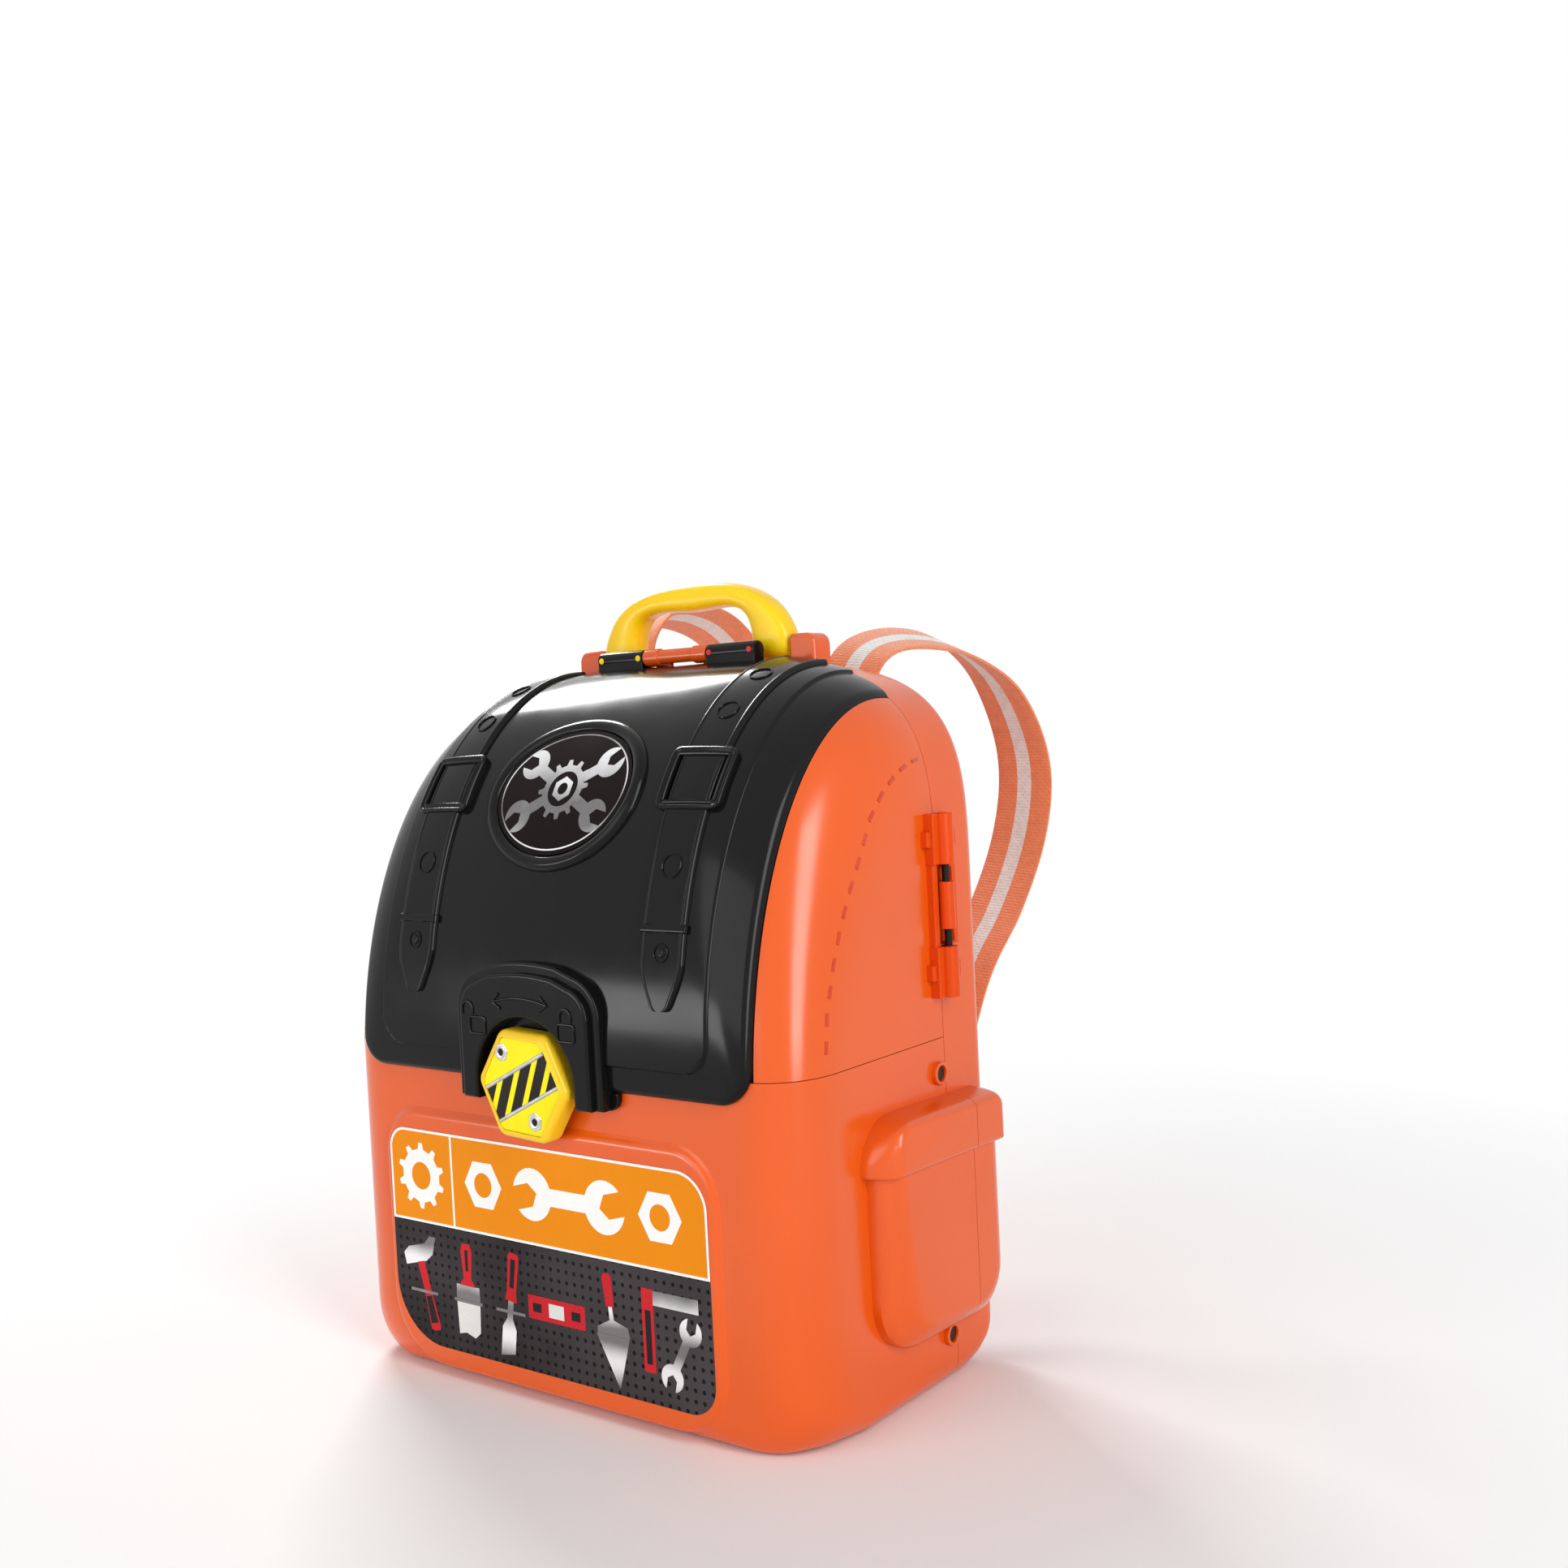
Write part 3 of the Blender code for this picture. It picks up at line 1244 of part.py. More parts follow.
def make_washer(material):
    inner = -FRONT_DEPTH + WALL + FIT_GAP * 2
    centre = (0.0, 0.0, LOCK_HEIGHT)
    washer = rod("y", centre, WASHER_RADIUS, inner, inner + WASHER_THICKNESS)
    hole = rod("y", centre, LOCK_SCREW_RADIUS + FIT_GAP, inner - OVERRUN, inner + OVERRUN, SMALL_SIDES)
    return dress(cut(washer, hole), "knob_washer", material)


def make_lock_screw(material):
    head = -FRONT_DEPTH + WALL + FIT_GAP * 3 + WASHER_THICKNESS
    tip = -FRONT_DEPTH + WALL + FIT_GAP - LOCK_SCREW_LENGTH
    centre = (0.0, 0.0, LOCK_HEIGHT)
    profile = [(tip, LOCK_SCREW_RADIUS), (head, LOCK_SCREW_RADIUS), (head, LOCK_SCREW_HEAD_RADIUS),
               (head + LOCK_SCREW_HEAD, LOCK_SCREW_HEAD_RADIUS)]
    return dress(turned("y", centre, profile, SMALL_SIDES), "knob_screw", material)


# Handle

# Angles round the pivot of the foot's rings, then outer points from the foot to the middle as
# shares of the half width and rise, and inner points as shares of the opening
HANDLE_FOOT_DEG = (76, 52, 27, 0)
HANDLE_OUTER_SHARES = ((0.975, 0.20), (0.92, 0.38), (0.855, 0.555), (0.765, 0.69), (0.66, 0.805),
                       (0.53, 0.91), (0.31, 0.985))
HANDLE_INNER_SHARES = ((0.99, 0.27), (0.97, 0.51), (0.93, 0.71), (0.85, 0.88), (0.73, 0.975),
                       (0.52, 1.02), (0.26, 0.99))
HANDLE_CORNER_SHARE = 0.75


def handle_outline():
    """Outer point, inner point and depth share from the right foot to the left, in front view."""
    half = HANDLE_HALF_WIDTH
    inner = half - HANDLE_LEG
    under = HANDLE_RISE - HANDLE_GRIP
    right = []
    for degrees in HANDLE_FOOT_DEG:
        angle = math.radians(degrees)
        drop = -HANDLE_DEPTH / 2 * math.sin(angle)
        right.append(((half, drop), (inner, drop), math.cos(angle)))
    for (ox, oz), (ix, iz) in zip(HANDLE_OUTER_SHARES, HANDLE_INNER_SHARES):
        right.append(((half * ox, HANDLE_RISE * oz), (inner * ix, under * iz), 1.0))
    middle = [((0.0, HANDLE_RISE), (0.0, under - HANDLE_WAVE), 1.0)]
    left = [((-a[0], a[1]), (-b[0], b[1]), share) for a, b, share in reversed(right)]
    return right + middle + left


HANDLE_SECTION_SIDES = 12


def make_handle(material):
    rings = []
    for (ox, oz), (ix, iz), share in handle_outline():
        cx, cz = (ox + ix) / 2, (oz + iz) / 2
        hx, hz = (ox - ix) / 2, (oz - iz) / 2
        ring = []
        for i in range(HANDLE_SECTION_SIDES):
            angle = math.tau * (i + 0.5) / HANDLE_SECTION_SIDES
            c, s = math.cos(angle), math.sin(angle)
            u = math.copysign(abs(c) ** HANDLE_CORNER_SHARE, c)
            v = math.copysign(abs(s) ** HANDLE_CORNER_SHARE, s)
            y = HANDLE_BACK + HANDLE_DEPTH / 2 * share * v
            ring.append(Vector((cx + hx * u, y, HANDLE_AXIS_Z + cz + hz * u)))
        rings.append(ring)
    handle = solid("handle", rings)
    for side in (-1, 1):
        low, high = sorted((side * (HANDLE_HALF_WIDTH - HANDLE_PIN_REACH),
                            side * (HANDLE_HALF_WIDTH + OVERRUN)))
        cut(handle, rod("x", (0.0, HANDLE_BACK, HANDLE_AXIS_Z), HANDLE_PIN_RADIUS + PIN_GAP, low, high,
                        SMALL_SIDES))
    return dress(handle, "handle", material)


def make_bracket(side, material):
    """A block beside the handle's foot with a saddle under it, shaped to the domed top."""
    x0 = HANDLE_HALF_WIDTH + FIT_GAP
    x1 = x0 + BRACKET_WIDTH
    y0 = HANDLE_BACK - BRACKET_DEPTH / 2
    y1 = HANDLE_BACK + BRACKET_DEPTH / 2
    top = BODY_HEIGHT + BRACKET_RISE
    low = BODY_HEIGHT - BRACKET_RISE
    radius = BRACKET_ROUND
    edge = BRACKET_CHAMFER
    corners = rectangle(x0, low, x1, top)
    section = plate("y", (0.0, 0.0, 0.0), corners, [FIT_GAP, FIT_GAP, radius, edge],
                    [(y0, edge), (y0 + edge, 0.0), (y1 - edge, 0.0), (y1, edge)])
    inner = HANDLE_HALF_WIDTH - BRACKET_SADDLE_REACH
    saddle = box((inner, y0 + FIT_GAP, low), (x0 + edge, y1 - FIT_GAP, BODY_HEIGHT + BRACKET_SADDLE))
    add(section, saddle)
    cut(section, arch_form([(-BACK_DEPTH, -FIT_GAP, 0.0), (BACK_DEPTH, -FIT_GAP, 0.0)]))
    cut(section, rod("x", (0.0, HANDLE_BACK, HANDLE_AXIS_Z), HANDLE_PIN_RADIUS + PIN_GAP,
                     x0 - OVERRUN, x0 + HANDLE_PIN_REACH, SMALL_SIDES))
    return dress(mirrored(section, side), side_name(side, "handle_bracket"), material)


def make_handle_pin(side, material):
    low, high = sorted((side * (HANDLE_HALF_WIDTH - HANDLE_PIN_REACH + FIT_GAP),
                        side * (HANDLE_HALF_WIDTH + HANDLE_PIN_REACH)))
    pin = rod("x", (0.0, HANDLE_BACK, HANDLE_AXIS_Z), HANDLE_PIN_RADIUS, low, high, SMALL_SIDES)
    return dress(pin, side_name(side, "handle_pin"), material)


# Case screws

def make_case_screw(side, height, name, material):
    """A screw that holds the bin to a lug of the back shell."""
    centre = (side * HALF_WIDTH, -BOSS_FRONT, height)
    top = BOSS_RISE - SCREW_RECESS
    under = top - SCREW_HEAD
    profile = [(side * -SCREW_LENGTH, SCREW_RADIUS), (side * under, SCREW_RADIUS),
               (side * under, SCREW_HEAD_RADIUS), (side * top, SCREW_HEAD_RADIUS)]
    return dress(turned("x", centre, profile, SMALL_SIDES), name, material)


# Shoulder straps

# The strap's route from its upper anchor: sideways shift, distance back and height from that
# anchor as shares of the case's height, then the tilt in degrees
STRAP_RIGHT_SHARES = (
    (0.000, 0.000, -0.035, 0.0),
    (0.000, 0.000, 0.032, 0.0),
    (0.000, 0.015, 0.090, 5.2),
    (0.005, 0.066, 0.128, 12.9),
    (0.014, 0.160, 0.140, 22.0),
    (0.028, 0.261, 0.126, 24.6),
    (0.043, 0.356, 0.074, 20.7),
    (0.050, 0.420, -0.012, 14.2),
    (0.050, 0.442, -0.100, 9.1),
    (0.045, 0.415, -0.201, 5.2),
    (0.036, 0.346, -0.305, 2.6),
    (0.024, 0.250, -0.410, 1.3),
)
STRAP_LEFT_SHARES = (
    (0.000, 0.000, -0.035, 0.0),
    (0.000, 0.000, 0.032, 0.0),
    (0.018, 0.008, 0.100, 3.0),
    (0.030, 0.032, 0.160, 8.0),
    (0.030, 0.087, 0.201, 14.0),
    (0.031, 0.170, 0.210, 19.0),
    (0.038, 0.268, 0.184, 20.0),
    (0.046, 0.360, 0.112, 17.5),
    (0.050, 0.422, 0.014, 13.0),
    (0.050, 0.442, -0.090, 9.1),
    (0.045, 0.415, -0.201, 5.2),
    (0.036, 0.346, -0.305, 2.6),
    (0.024, 0.250, -0.410, 1.3),
)
# The same from the lower anchor, for both straps
STRAP_LOWER_SHARES = (
    (0.012, 0.144, 0.185, 0.0),
    (0.002, 0.053, 0.095, 0.0),
    (0.000, 0.006, 0.045, 0.0),
    (0.000, 0.000, 0.010, 0.0),
    (0.000, 0.000, -0.035, 0.0),
)


def strap_route(side):
    """The strap's route beside the middle plane: sideways shift, place back, height and tilt."""
    upper = STRAP_RIGHT_SHARES if side > 0 else STRAP_LEFT_SHARES
    back = BACK_DEPTH + FIT_GAP * 2 + STRAP_THICKNESS / 2
    route = []
    for shares, height in ((upper, ANCHOR_TOP_HEIGHT), (STRAP_LOWER_SHARES, ANCHOR_LOW_HEIGHT)):
        for shift, rearward, above, tilt in shares:
            route.append((BODY_HEIGHT * shift, back + BODY_HEIGHT * rearward,
                          height + BODY_HEIGHT * above, tilt))
    return route


def smooth_route(points, steps):
    """Places along a smooth curve through the points, evenly spaced in length."""
    fine = []
    count = len(points)
    for i in range(count - 1):
        p0 = points[max(i - 1, 0)]
        p1 = points[i]
        p2 = points[i + 1]
        p3 = points[min(i + 2, count - 1)]
        for k in range(12):
            t = k / 12
            fine.append([0.5 * (2 * b + (c - a) * t + (2 * a - 5 * b + 4 * c - d) * t * t
                                + (3 * b - a - 3 * c + d) * t ** 3)
                         for a, b, c, d in zip(p0, p1, p2, p3)])
    fine.append(list(points[-1]))
    lengths = [0.0]
    for a, b in zip(fine, fine[1:]):
        lengths.append(lengths[-1] + math.dist(a[:3], b[:3]))
    places = []
    for i in range(steps + 1):
        goal = lengths[-1] * i / steps
        k = 1
        while k < len(lengths) - 1 and lengths[k] < goal:
            k += 1
        t = (goal - lengths[k - 1]) / (lengths[k] - lengths[k - 1])
        places.append([a + (b - a) * t for a, b in zip(fine[k - 1], fine[k])])
    return places, lengths[-1]


def strap_frames(side):
    """Places along the strap with its width, running and outward directions."""
    places, _ = smooth_route(strap_route(side), STRAP_STEPS)
    frames = []
    for i, (shift, y, z, tilt) in enumerate(places):
        before = places[max(i - 1, 0)]
        after = places[min(i + 1, len(places) - 1)]
        run = Vector((side * (after[0] - before[0]), after[1] - before[1], after[2] - before[2]))
        run.normalize()
        angle = math.radians(tilt)
        width = Vector((side * math.cos(angle), 0.0, -math.sin(angle)))
        width = (width - run * width.dot(run)).normalized()
        frames.append((Vector((side * (STRAP_OFFSET + shift), y, z)), width, run, width.cross(run) * side))
    return frames


def make_strap(side, material):
    rings = []
    for centre, width, _, out in strap_frames(side):
        w = width * (STRAP_WIDTH / 2)
        t = out * (STRAP_THICKNESS / 2)
        rings.append([centre - w - t, centre + w - t, centre + w + t, centre - w + t])
    return dress(solid("strap", rings), side_name(side, "strap"), material)


def make_anchor(side, height, name, material):
    """A bridge on the back wall that the strap's end passes under."""
    back = BACK_DEPTH + FIT_GAP
    bar_front = BACK_DEPTH + FIT_GAP * 2 + STRAP_THICKNESS + FIT_GAP * 2
    half = STRAP_WIDTH / 2 + FIT_GAP * 2
    middle = side * STRAP_OFFSET
    z0 = height - ANCHOR_BAR / 2
    z1 = height + ANCHOR_BAR / 2
    outer = half + ANCHOR_POST
    body = plate("y", (middle, 0.0, 0.0), rectangle(-outer, z0, outer, z1), [ANCHOR_BAR / 4] * 4,
                 [(back, 0.0), (bar_front + ANCHOR_THICKNESS - ANCHOR_POST / 4, 0.0),
                  (bar_front + ANCHOR_THICKNESS, ANCHOR_POST / 4)], 3)
    passage = box((middle - half, back - OVERRUN, z0 - OVERRUN), (middle + half, bar_front, z1 + OVERRUN))
    return dress(cut(body, passage), name, material)


def make_slider(side, material):
    """The strap's adjuster: two rails, two bars in front of the webbing and one behind it."""
    frames = strap_frames(side)
    centre, width, run, out = frames[int(round(STRAP_STEPS * SLIDER_POSITION_SHARE))]

    half = STRAP_WIDTH / 2 + SLIDER_GAP
    outer = half + SLIDER_RAIL
    near = STRAP_THICKNESS / 2 + SLIDER_GAP
    far = near + SLIDER_THICKNESS
    long = SLIDER_HALF_LENGTH
    slider = box((-outer, -far, -long), (-half, far, long))
    add(slider, box((-outer, near, -long), (outer, far, -long + SLIDER_BAR)))
    add(slider, box((-outer, near, long - SLIDER_BAR), (outer, far, long)))
    add(slider, box((-outer, -far, -SLIDER_BAR / 2), (outer, -near, SLIDER_BAR / 2)))
    add(slider, box((half, -far, -long), (outer, far, long)))
    set_on(slider, centre, width, out, run)
    return dress(slider, side_name(side, "strap_slider"), material)


# Assembly

def build():
    clear_scene()
    orange = make_material("orange_plastic", ORANGE, 0.28)
    black = make_material("black_plastic", BLACK, 0.22)
    yellow = make_material("yellow_plastic", YELLOW, 0.25)
    steel = make_material("steel", STEEL, 0.30, 1.0)
    webbing = make_material("webbing", WEBBING, 0.75)

    make_back(orange)
    make_bin(orange)
    make_lock_base(black)
    make_washer(steel)
    make_lock_screw(steel)
    make_flap_pin(steel)
    for side in (-1, 1):
        for place, height in zip(("low_screw", "high_screw"), BOSS_HEIGHTS):
            make_case_screw(side, height, side_name(side, place), steel)
        make_bracket(side, orange)
        make_handle_pin(side, steel)
        make_wing_pin(side, steel)
        make_strap(side, webbing)
        make_anchor(side, ANCHOR_TOP_HEIGHT, side_name(side, "top_anchor"), black)
        make_anchor(side, ANCHOR_LOW_HEIGHT, side_name(side, "low_anchor"), black)
        make_slider(side, black)
        wing = make_wing(side, orange)
        pivot(side_name(side, "wing_axis"), (side * WING_AXIS_X, 0.0, BIN_HEIGHT), [wing])
    flap = make_flap(black)
    hasp = make_hasp(black)
    disc = make_disc(black)
    pivot("flap_axis", (0.0, TOP_HINGE_BACK, TOP_AXIS_Z), [flap, hasp, disc])
    knob = make_knob(yellow)
    face = make_knob_face(yellow)
    pivot("knob_axis", (0.0, -FRONT_DEPTH, LOCK_HEIGHT), [knob, face])
    handle = make_handle(yellow)
    pivot("handle_axis", (0.0, HANDLE_BACK, HANDLE_AXIS_Z), [handle])


build()
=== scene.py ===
import math

import bmesh
import bpy
import numpy as np
from mathutils import Matrix, Vector
from mathutils.bvhtree import BVHTree
from mathutils.geometry import delaunay_2d_cdt


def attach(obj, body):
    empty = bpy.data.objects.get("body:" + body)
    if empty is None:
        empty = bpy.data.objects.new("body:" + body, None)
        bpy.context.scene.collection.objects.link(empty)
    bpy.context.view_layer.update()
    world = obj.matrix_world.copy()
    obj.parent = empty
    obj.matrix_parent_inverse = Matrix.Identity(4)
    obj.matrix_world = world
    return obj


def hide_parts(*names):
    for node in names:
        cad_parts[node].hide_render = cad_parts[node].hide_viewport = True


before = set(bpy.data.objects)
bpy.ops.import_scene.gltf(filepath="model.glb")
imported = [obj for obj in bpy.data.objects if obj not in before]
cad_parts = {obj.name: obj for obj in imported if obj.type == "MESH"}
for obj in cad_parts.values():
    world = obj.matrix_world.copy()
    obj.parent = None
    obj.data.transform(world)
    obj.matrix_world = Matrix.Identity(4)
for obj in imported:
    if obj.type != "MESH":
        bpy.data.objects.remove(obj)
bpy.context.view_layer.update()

# Down to the camera, lengths are in millimetres about the seam between the front and back mouldings:
# x to the right, y to the back, z up. MM and SET_BACK carry them into the frame.
MM = 0.001
SET_BACK = 32.75
HALF = 119.0
HEIGHT = 281.0
FRONT = 97.5
BACK = 32.0
BIN = 134.0
WALL = 2.5
SEAM = 0.15
CHEEK = 101.5
FOOT = 10.0
PROFILE_EXPONENT = 2.07
SIDE_EXPONENT = 3.92
PLAN_EXPONENT = 2.45
PLAN_FLAT = 0.767
PLAN_DEPTH = 28.8
SHOULDER = 91.5
SIDES = {-1: "left", 1: "right"}


# Mesh making

class Shape:
    """Vertices and faces of one piece, in millimetres."""

    def __init__(self):
        self.verts = []
        self.faces = []

    def add(self, points):
        start = len(self.verts)
        self.verts.extend(map(tuple, points))
        return list(range(start, len(self.verts)))

    def strip(self, a, b, closed=False):
        for i in range(len(a) if closed else len(a) - 1):
            j = (i + 1) % len(a)
            self.faces.append((a[i], a[j], b[j], b[i]))

    def grid(self, rows, closed=False):
        lines = [self.add(row) for row in rows]
        for a, b in zip(lines, lines[1:]):
            self.strip(a, b, closed)
        return lines

    def loft(self, rings):
        lines = self.grid(rings, True)
        self.faces += [lines[0][::-1], lines[-1]]

    def hoop(self, rings):
        lines = self.grid(rings, True)
        self.strip(lines[-1], lines[0], True)

    def shell(self, outer, inner, first=True):
        """Two grids of one size joined round their edges, along the first row only if asked."""
        a, b = self.grid(outer), self.grid(inner)
        for k in (0, -1) if first else (-1,):
            self.strip(a[k], b[k])
        for k in (0, -1):
            self.strip([row[k] for row in a], [row[k] for row in b])

    def wall(self, ring, mirror, steps):
        """A wall across a ring, whose rows join each point to its mirror image."""
        pairs = zip(ring[:len(ring) // 2 + 1], mirror)
        return self.grid([[a + (b - a) * t for t in np.linspace(0, 1, steps)] for a, b in pairs])


def shade(mesh, angle):
    mesh.shade_smooth()
    mesh.set_sharp_from_angle(angle=math.radians(angle))


def link(name, data):
    item = bpy.data.objects.new(name, data)
    bpy.context.scene.collection.objects.link(item)
    return item


def make(name, shape, body, material, stands_for=None, slot=None, angle=32.0, weighted=True, merge=0.0005,
         subdivision=0):
    """A piece that rides on a body. A slot is looked up from its material unless one is given, and is then
    left unused.
    """
    mesh = bpy.data.meshes.new(name)
    points = np.array(shape.verts, float) + (0.0, SET_BACK, 0.0)
    mesh.from_pydata((points * MM).tolist(), [], shape.faces)
    work = bmesh.new()
    work.from_mesh(mesh)
    bmesh.ops.remove_doubles(work, verts=work.verts, dist=merge * MM)
    bmesh.ops.dissolve_degenerate(work, edges=work.edges, dist=merge * MM)
    bmesh.ops.recalc_face_normals(work, faces=work.faces)
    work.to_mesh(mesh)
    work.free()
    shade(mesh, angle)
    piece = link(name, mesh)
    mesh.materials.append(material)
    if subdivision:
        modifier = piece.modifiers.new("smooth", "SUBSURF")
        modifier.levels = modifier.render_levels = subdivision
    elif weighted:
        modifier = piece.modifiers.new("normals", "WEIGHTED_NORMAL")
        modifier.keep_sharp = True
    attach(piece, body)
    slot = slot or SLOTS.get(material)
    if stands_for:
        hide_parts(stands_for)
    return piece


def join(*columns):
    """Columns of numbers, a single number repeated, as the rows of one array."""
    return np.stack(np.broadcast_arrays(*columns), -1)


def spaced(*spans):
    """Places along a line: spans list (start, end, step)."""
    places = np.concatenate([np.linspace(low, high, max(1, int(round(abs(high - low) / step))) + 1)
                             for low, high, step in spans])
    return places[np.append(True, np.abs(np.diff(places)) > 1e-6)]


def circle(sides, radius=1.0):
    angles = np.linspace(0, math.tau, sides, endpoint=False)
    return radius * np.cos(angles), radius * np.sin(angles)


def arc_points(cx, cz, radius, start, end, steps):
    return [(cx + radius * math.cos(math.radians(a)), cz + radius * math.sin(math.radians(a)))
            for a in np.linspace(start, end, steps + 1)]


def mirrored(points):
    """The points from last to first, mirrored from right to left."""
    return [(-x, z) for x, z in reversed(points)]


def rounded_rect(x0, z0, x1, z1, radii, steps=8):
    """An anticlockwise outline; radii of the corners low left, low right, high right, high left."""
    points = []
    corners = ((x0, z0, 1, 1, 180), (x1, z0, -1, 1, 270), (x1, z1, -1, -1, 0), (x0, z1, 1, -1, 90))
    for r, (x, z, across, up, start) in zip(np.broadcast_to(radii, 4), corners):
        points += arc_points(x + across * r, z + up * r, r, start, start + 90, steps)
    return np.array(points)


def inset(outline, amount):
    """The outline moved inwards along its own normals."""
    run = np.roll(outline, -1, axis=0) - outline
    run /= np.maximum(np.linalg.norm(run, axis=1), 1e-9)[:, None]
    after = join(-run[:, 1], run[:, 0])
    before = np.roll(after, 1, axis=0)
    scale = np.maximum(1.0 + (before * after).sum(1), 0.4)
    return outline + (before + after) / scale[:, None] * amount


def round_edge(face, radius, steps=4):
    """Levels of an edge rounded towards a face at the front: (distance, inset)."""
    return [(face + radius * (1 - math.sin(t)), radius * (1 - math.cos(t)))
            for t in np.linspace(0.0, math.pi / 2, steps + 1)]


def prism(shape, outline, levels, place, lip=0.35):
    """A lofted plate: levels list (distance, inset); place turns (u, v, w) into points."""
    (low, first), (high, last) = levels[0], levels[-1]
    levels = [(low, first + lip), *levels, (high, last + lip)]
    shape.loft([place(*inset(outline, amount).T, distance) for distance, amount in levels])


def face_y(u, v, w):
    return join(u, w, v)


def rod(shape, axis, centre, profile, sides=32):
    """A turned body: profile lists (distance along the axis, radius)."""
    order = {"x": (2, 0, 1), "y": (0, 2, 1), "z": (0, 1, 2)}[axis]
    rings = []
    for distance, radius in profile:
        c, s = circle(sides, radius)
        parts = (centre[0] + c, centre[1] + s, float(distance))
        rings.append(join(*(parts[k] for k in order)))
    shape.loft(rings)


def barrel(shape, axis, centre, low, high, radius, edge):
    """A rod with softened ends."""
    end = [(0.0, edge * 1.4), (0.0, edge), (edge * 0.3, edge * 0.3), (edge, 0.0)]
    profile = [(low + d, radius - r) for d, r in end] + [(high - d, radius - r) for d, r in end[::-1]]
    rod(shape, axis, centre, profile)


def densify(outline, longest):
    """The outline with extra points on its long edges."""
    points = []
    for a, b in zip(outline, np.roll(outline, -1, axis=0)):
        length = float(np.hypot(*(b - a)))
        if length > 1e-6:
            steps = math.ceil(length / longest)
            points += [a + (b - a) * k / steps for k in range(steps)]
    return np.array(points)


def within(points, loops):
    """Whether each point lies inside the loops, a loop in a loop being a hole."""
    hit = np.zeros(len(points), bool)
    for loop in loops:
        loop = np.asarray(loop, float)
        for (ax, ay), (bx, by) in zip(loop, np.roll(loop, -1, axis=0)):
            if ay != by:
                at = ax + (points[:, 1] - ay) * (bx - ax) / (by - ay)
                hit ^= ((ay > points[:, 1]) != (by > points[:, 1])) & (points[:, 0] < at)
    return hit


def plate(shape, loops, low, high, place, spacing=0.0):
    """A thin plate between two heights over the surface that place(u, v, height) gives."""
    points, edges = [], []
    for loop in loops:
        start, count = len(points), len(loop)
        points += [tuple(map(float, p)) for p in loop]
        edges += [(start + i, start + (i + 1) % count) for i in range(count)]
    if spacing:
        rim = np.array(points)
        u, v = (np.arange(rim[:, k].min() + spacing / 2, rim[:, k].max(), spacing) for k in (0, 1))
        grid = np.stack(np.meshgrid(u, v), -1).reshape(-1, 2)
        grid = grid[within(grid, loops)]
        points += [tuple(g) for g in grid if np.hypot(*(rim - g).T).min() > spacing * 0.35]
    found = delaunay_2d_cdt([Vector(p) for p in points], edges, [], 0, 1e-5)
    flat = np.array([tuple(p) for p in found[0]])
    faces = [list(f) for f in found[2]]
    kept = within(np.array([flat[f].mean(0) for f in faces]), loops)
    faces = [f for f, keep in zip(faces, kept) if keep]
    top, bottom = (shape.add(place(*flat.T, h)) for h in (high, low))
    sides = set()
    for f in faces:
        shape.faces += [[top[i] for i in f], [bottom[i] for i in reversed(f)]]
        sides.update(zip(f, f[1:] + f[:1]))
    shape.faces += [(top[a], bottom[a], bottom[b], top[b]) for a, b in sorted(sides) if (b, a) not in sides]


def ridge(shape, path, half, rise, place, closed=False, sink=0.3):
    """A raised line with a rounded section along a path on a surface."""
    path = np.asarray(path, float)
    ahead = np.roll(path, -1, 0) - np.roll(path, 1, 0)
    if not closed:
        ahead[0], ahead[-1] = path[1] - path[0], path[-1] - path[-2]
    ahead /= np.linalg.norm(ahead, axis=1)[:, None]
    across = join(-ahead[:, 1], ahead[:, 0])
    edge = [(-1, -sink), (-1, rise * 0.4), (-0.7, rise * 0.85)]
    rows = [place(*(path + across * offset * half).T, height)
            for offset, height in edge + [(0, rise)] + mirrored(edge)]
    rings = list(np.stack(rows, 1))
    if closed:
        shape.grid(rings + [rings[0]], True)
    else:
        shape.loft(rings)


def turned(outline, degrees, u=0.0, v=0.0):
    """An outline turned about the origin and then moved."""
    a = math.radians(degrees)
    x, z = np.asarray(outline, float).T
    return join(u + x * math.cos(a) - z * math.sin(a), v + x * math.sin(a) + z * math.cos(a))


def polygon(sides, radius, tilt=0.0):
    return np.array(arc_points(0.0, 0.0, radius, tilt, tilt + 360.0, sides)[:-1])


def gear(radius, depth, teeth):
    tooth = ((0.08, radius), (0.32, radius), (0.43, radius - depth), (0.95, radius - depth))
    steps = [(math.tau * (k + share) / teeth, reach) for k in range(teeth) for share, reach in tooth]
    return np.array([(reach * math.cos(a), reach * math.sin(a)) for a, reach in steps])


def spanner(length, radius, slot, half):
    """A spanner with a jaw at both ends, lying along u."""
    centre = length / 2 - radius
    start = math.degrees(math.asin(half / radius))
    opening = math.degrees(math.asin(slot / radius))
    jaw = arc_points(centre, 0.0, radius, -180 + start, -opening + 15, 12)
    jaw += list(turned([(radius * 0.1, -slot), (-radius * 0.25, 0.0), (radius * 0.1, slot)], 15, centre))
    jaw = np.array(jaw + arc_points(centre, 0.0, radius, opening + 15, 180 - start, 12))
    return np.concatenate([jaw, -jaw])


# The case's outer form

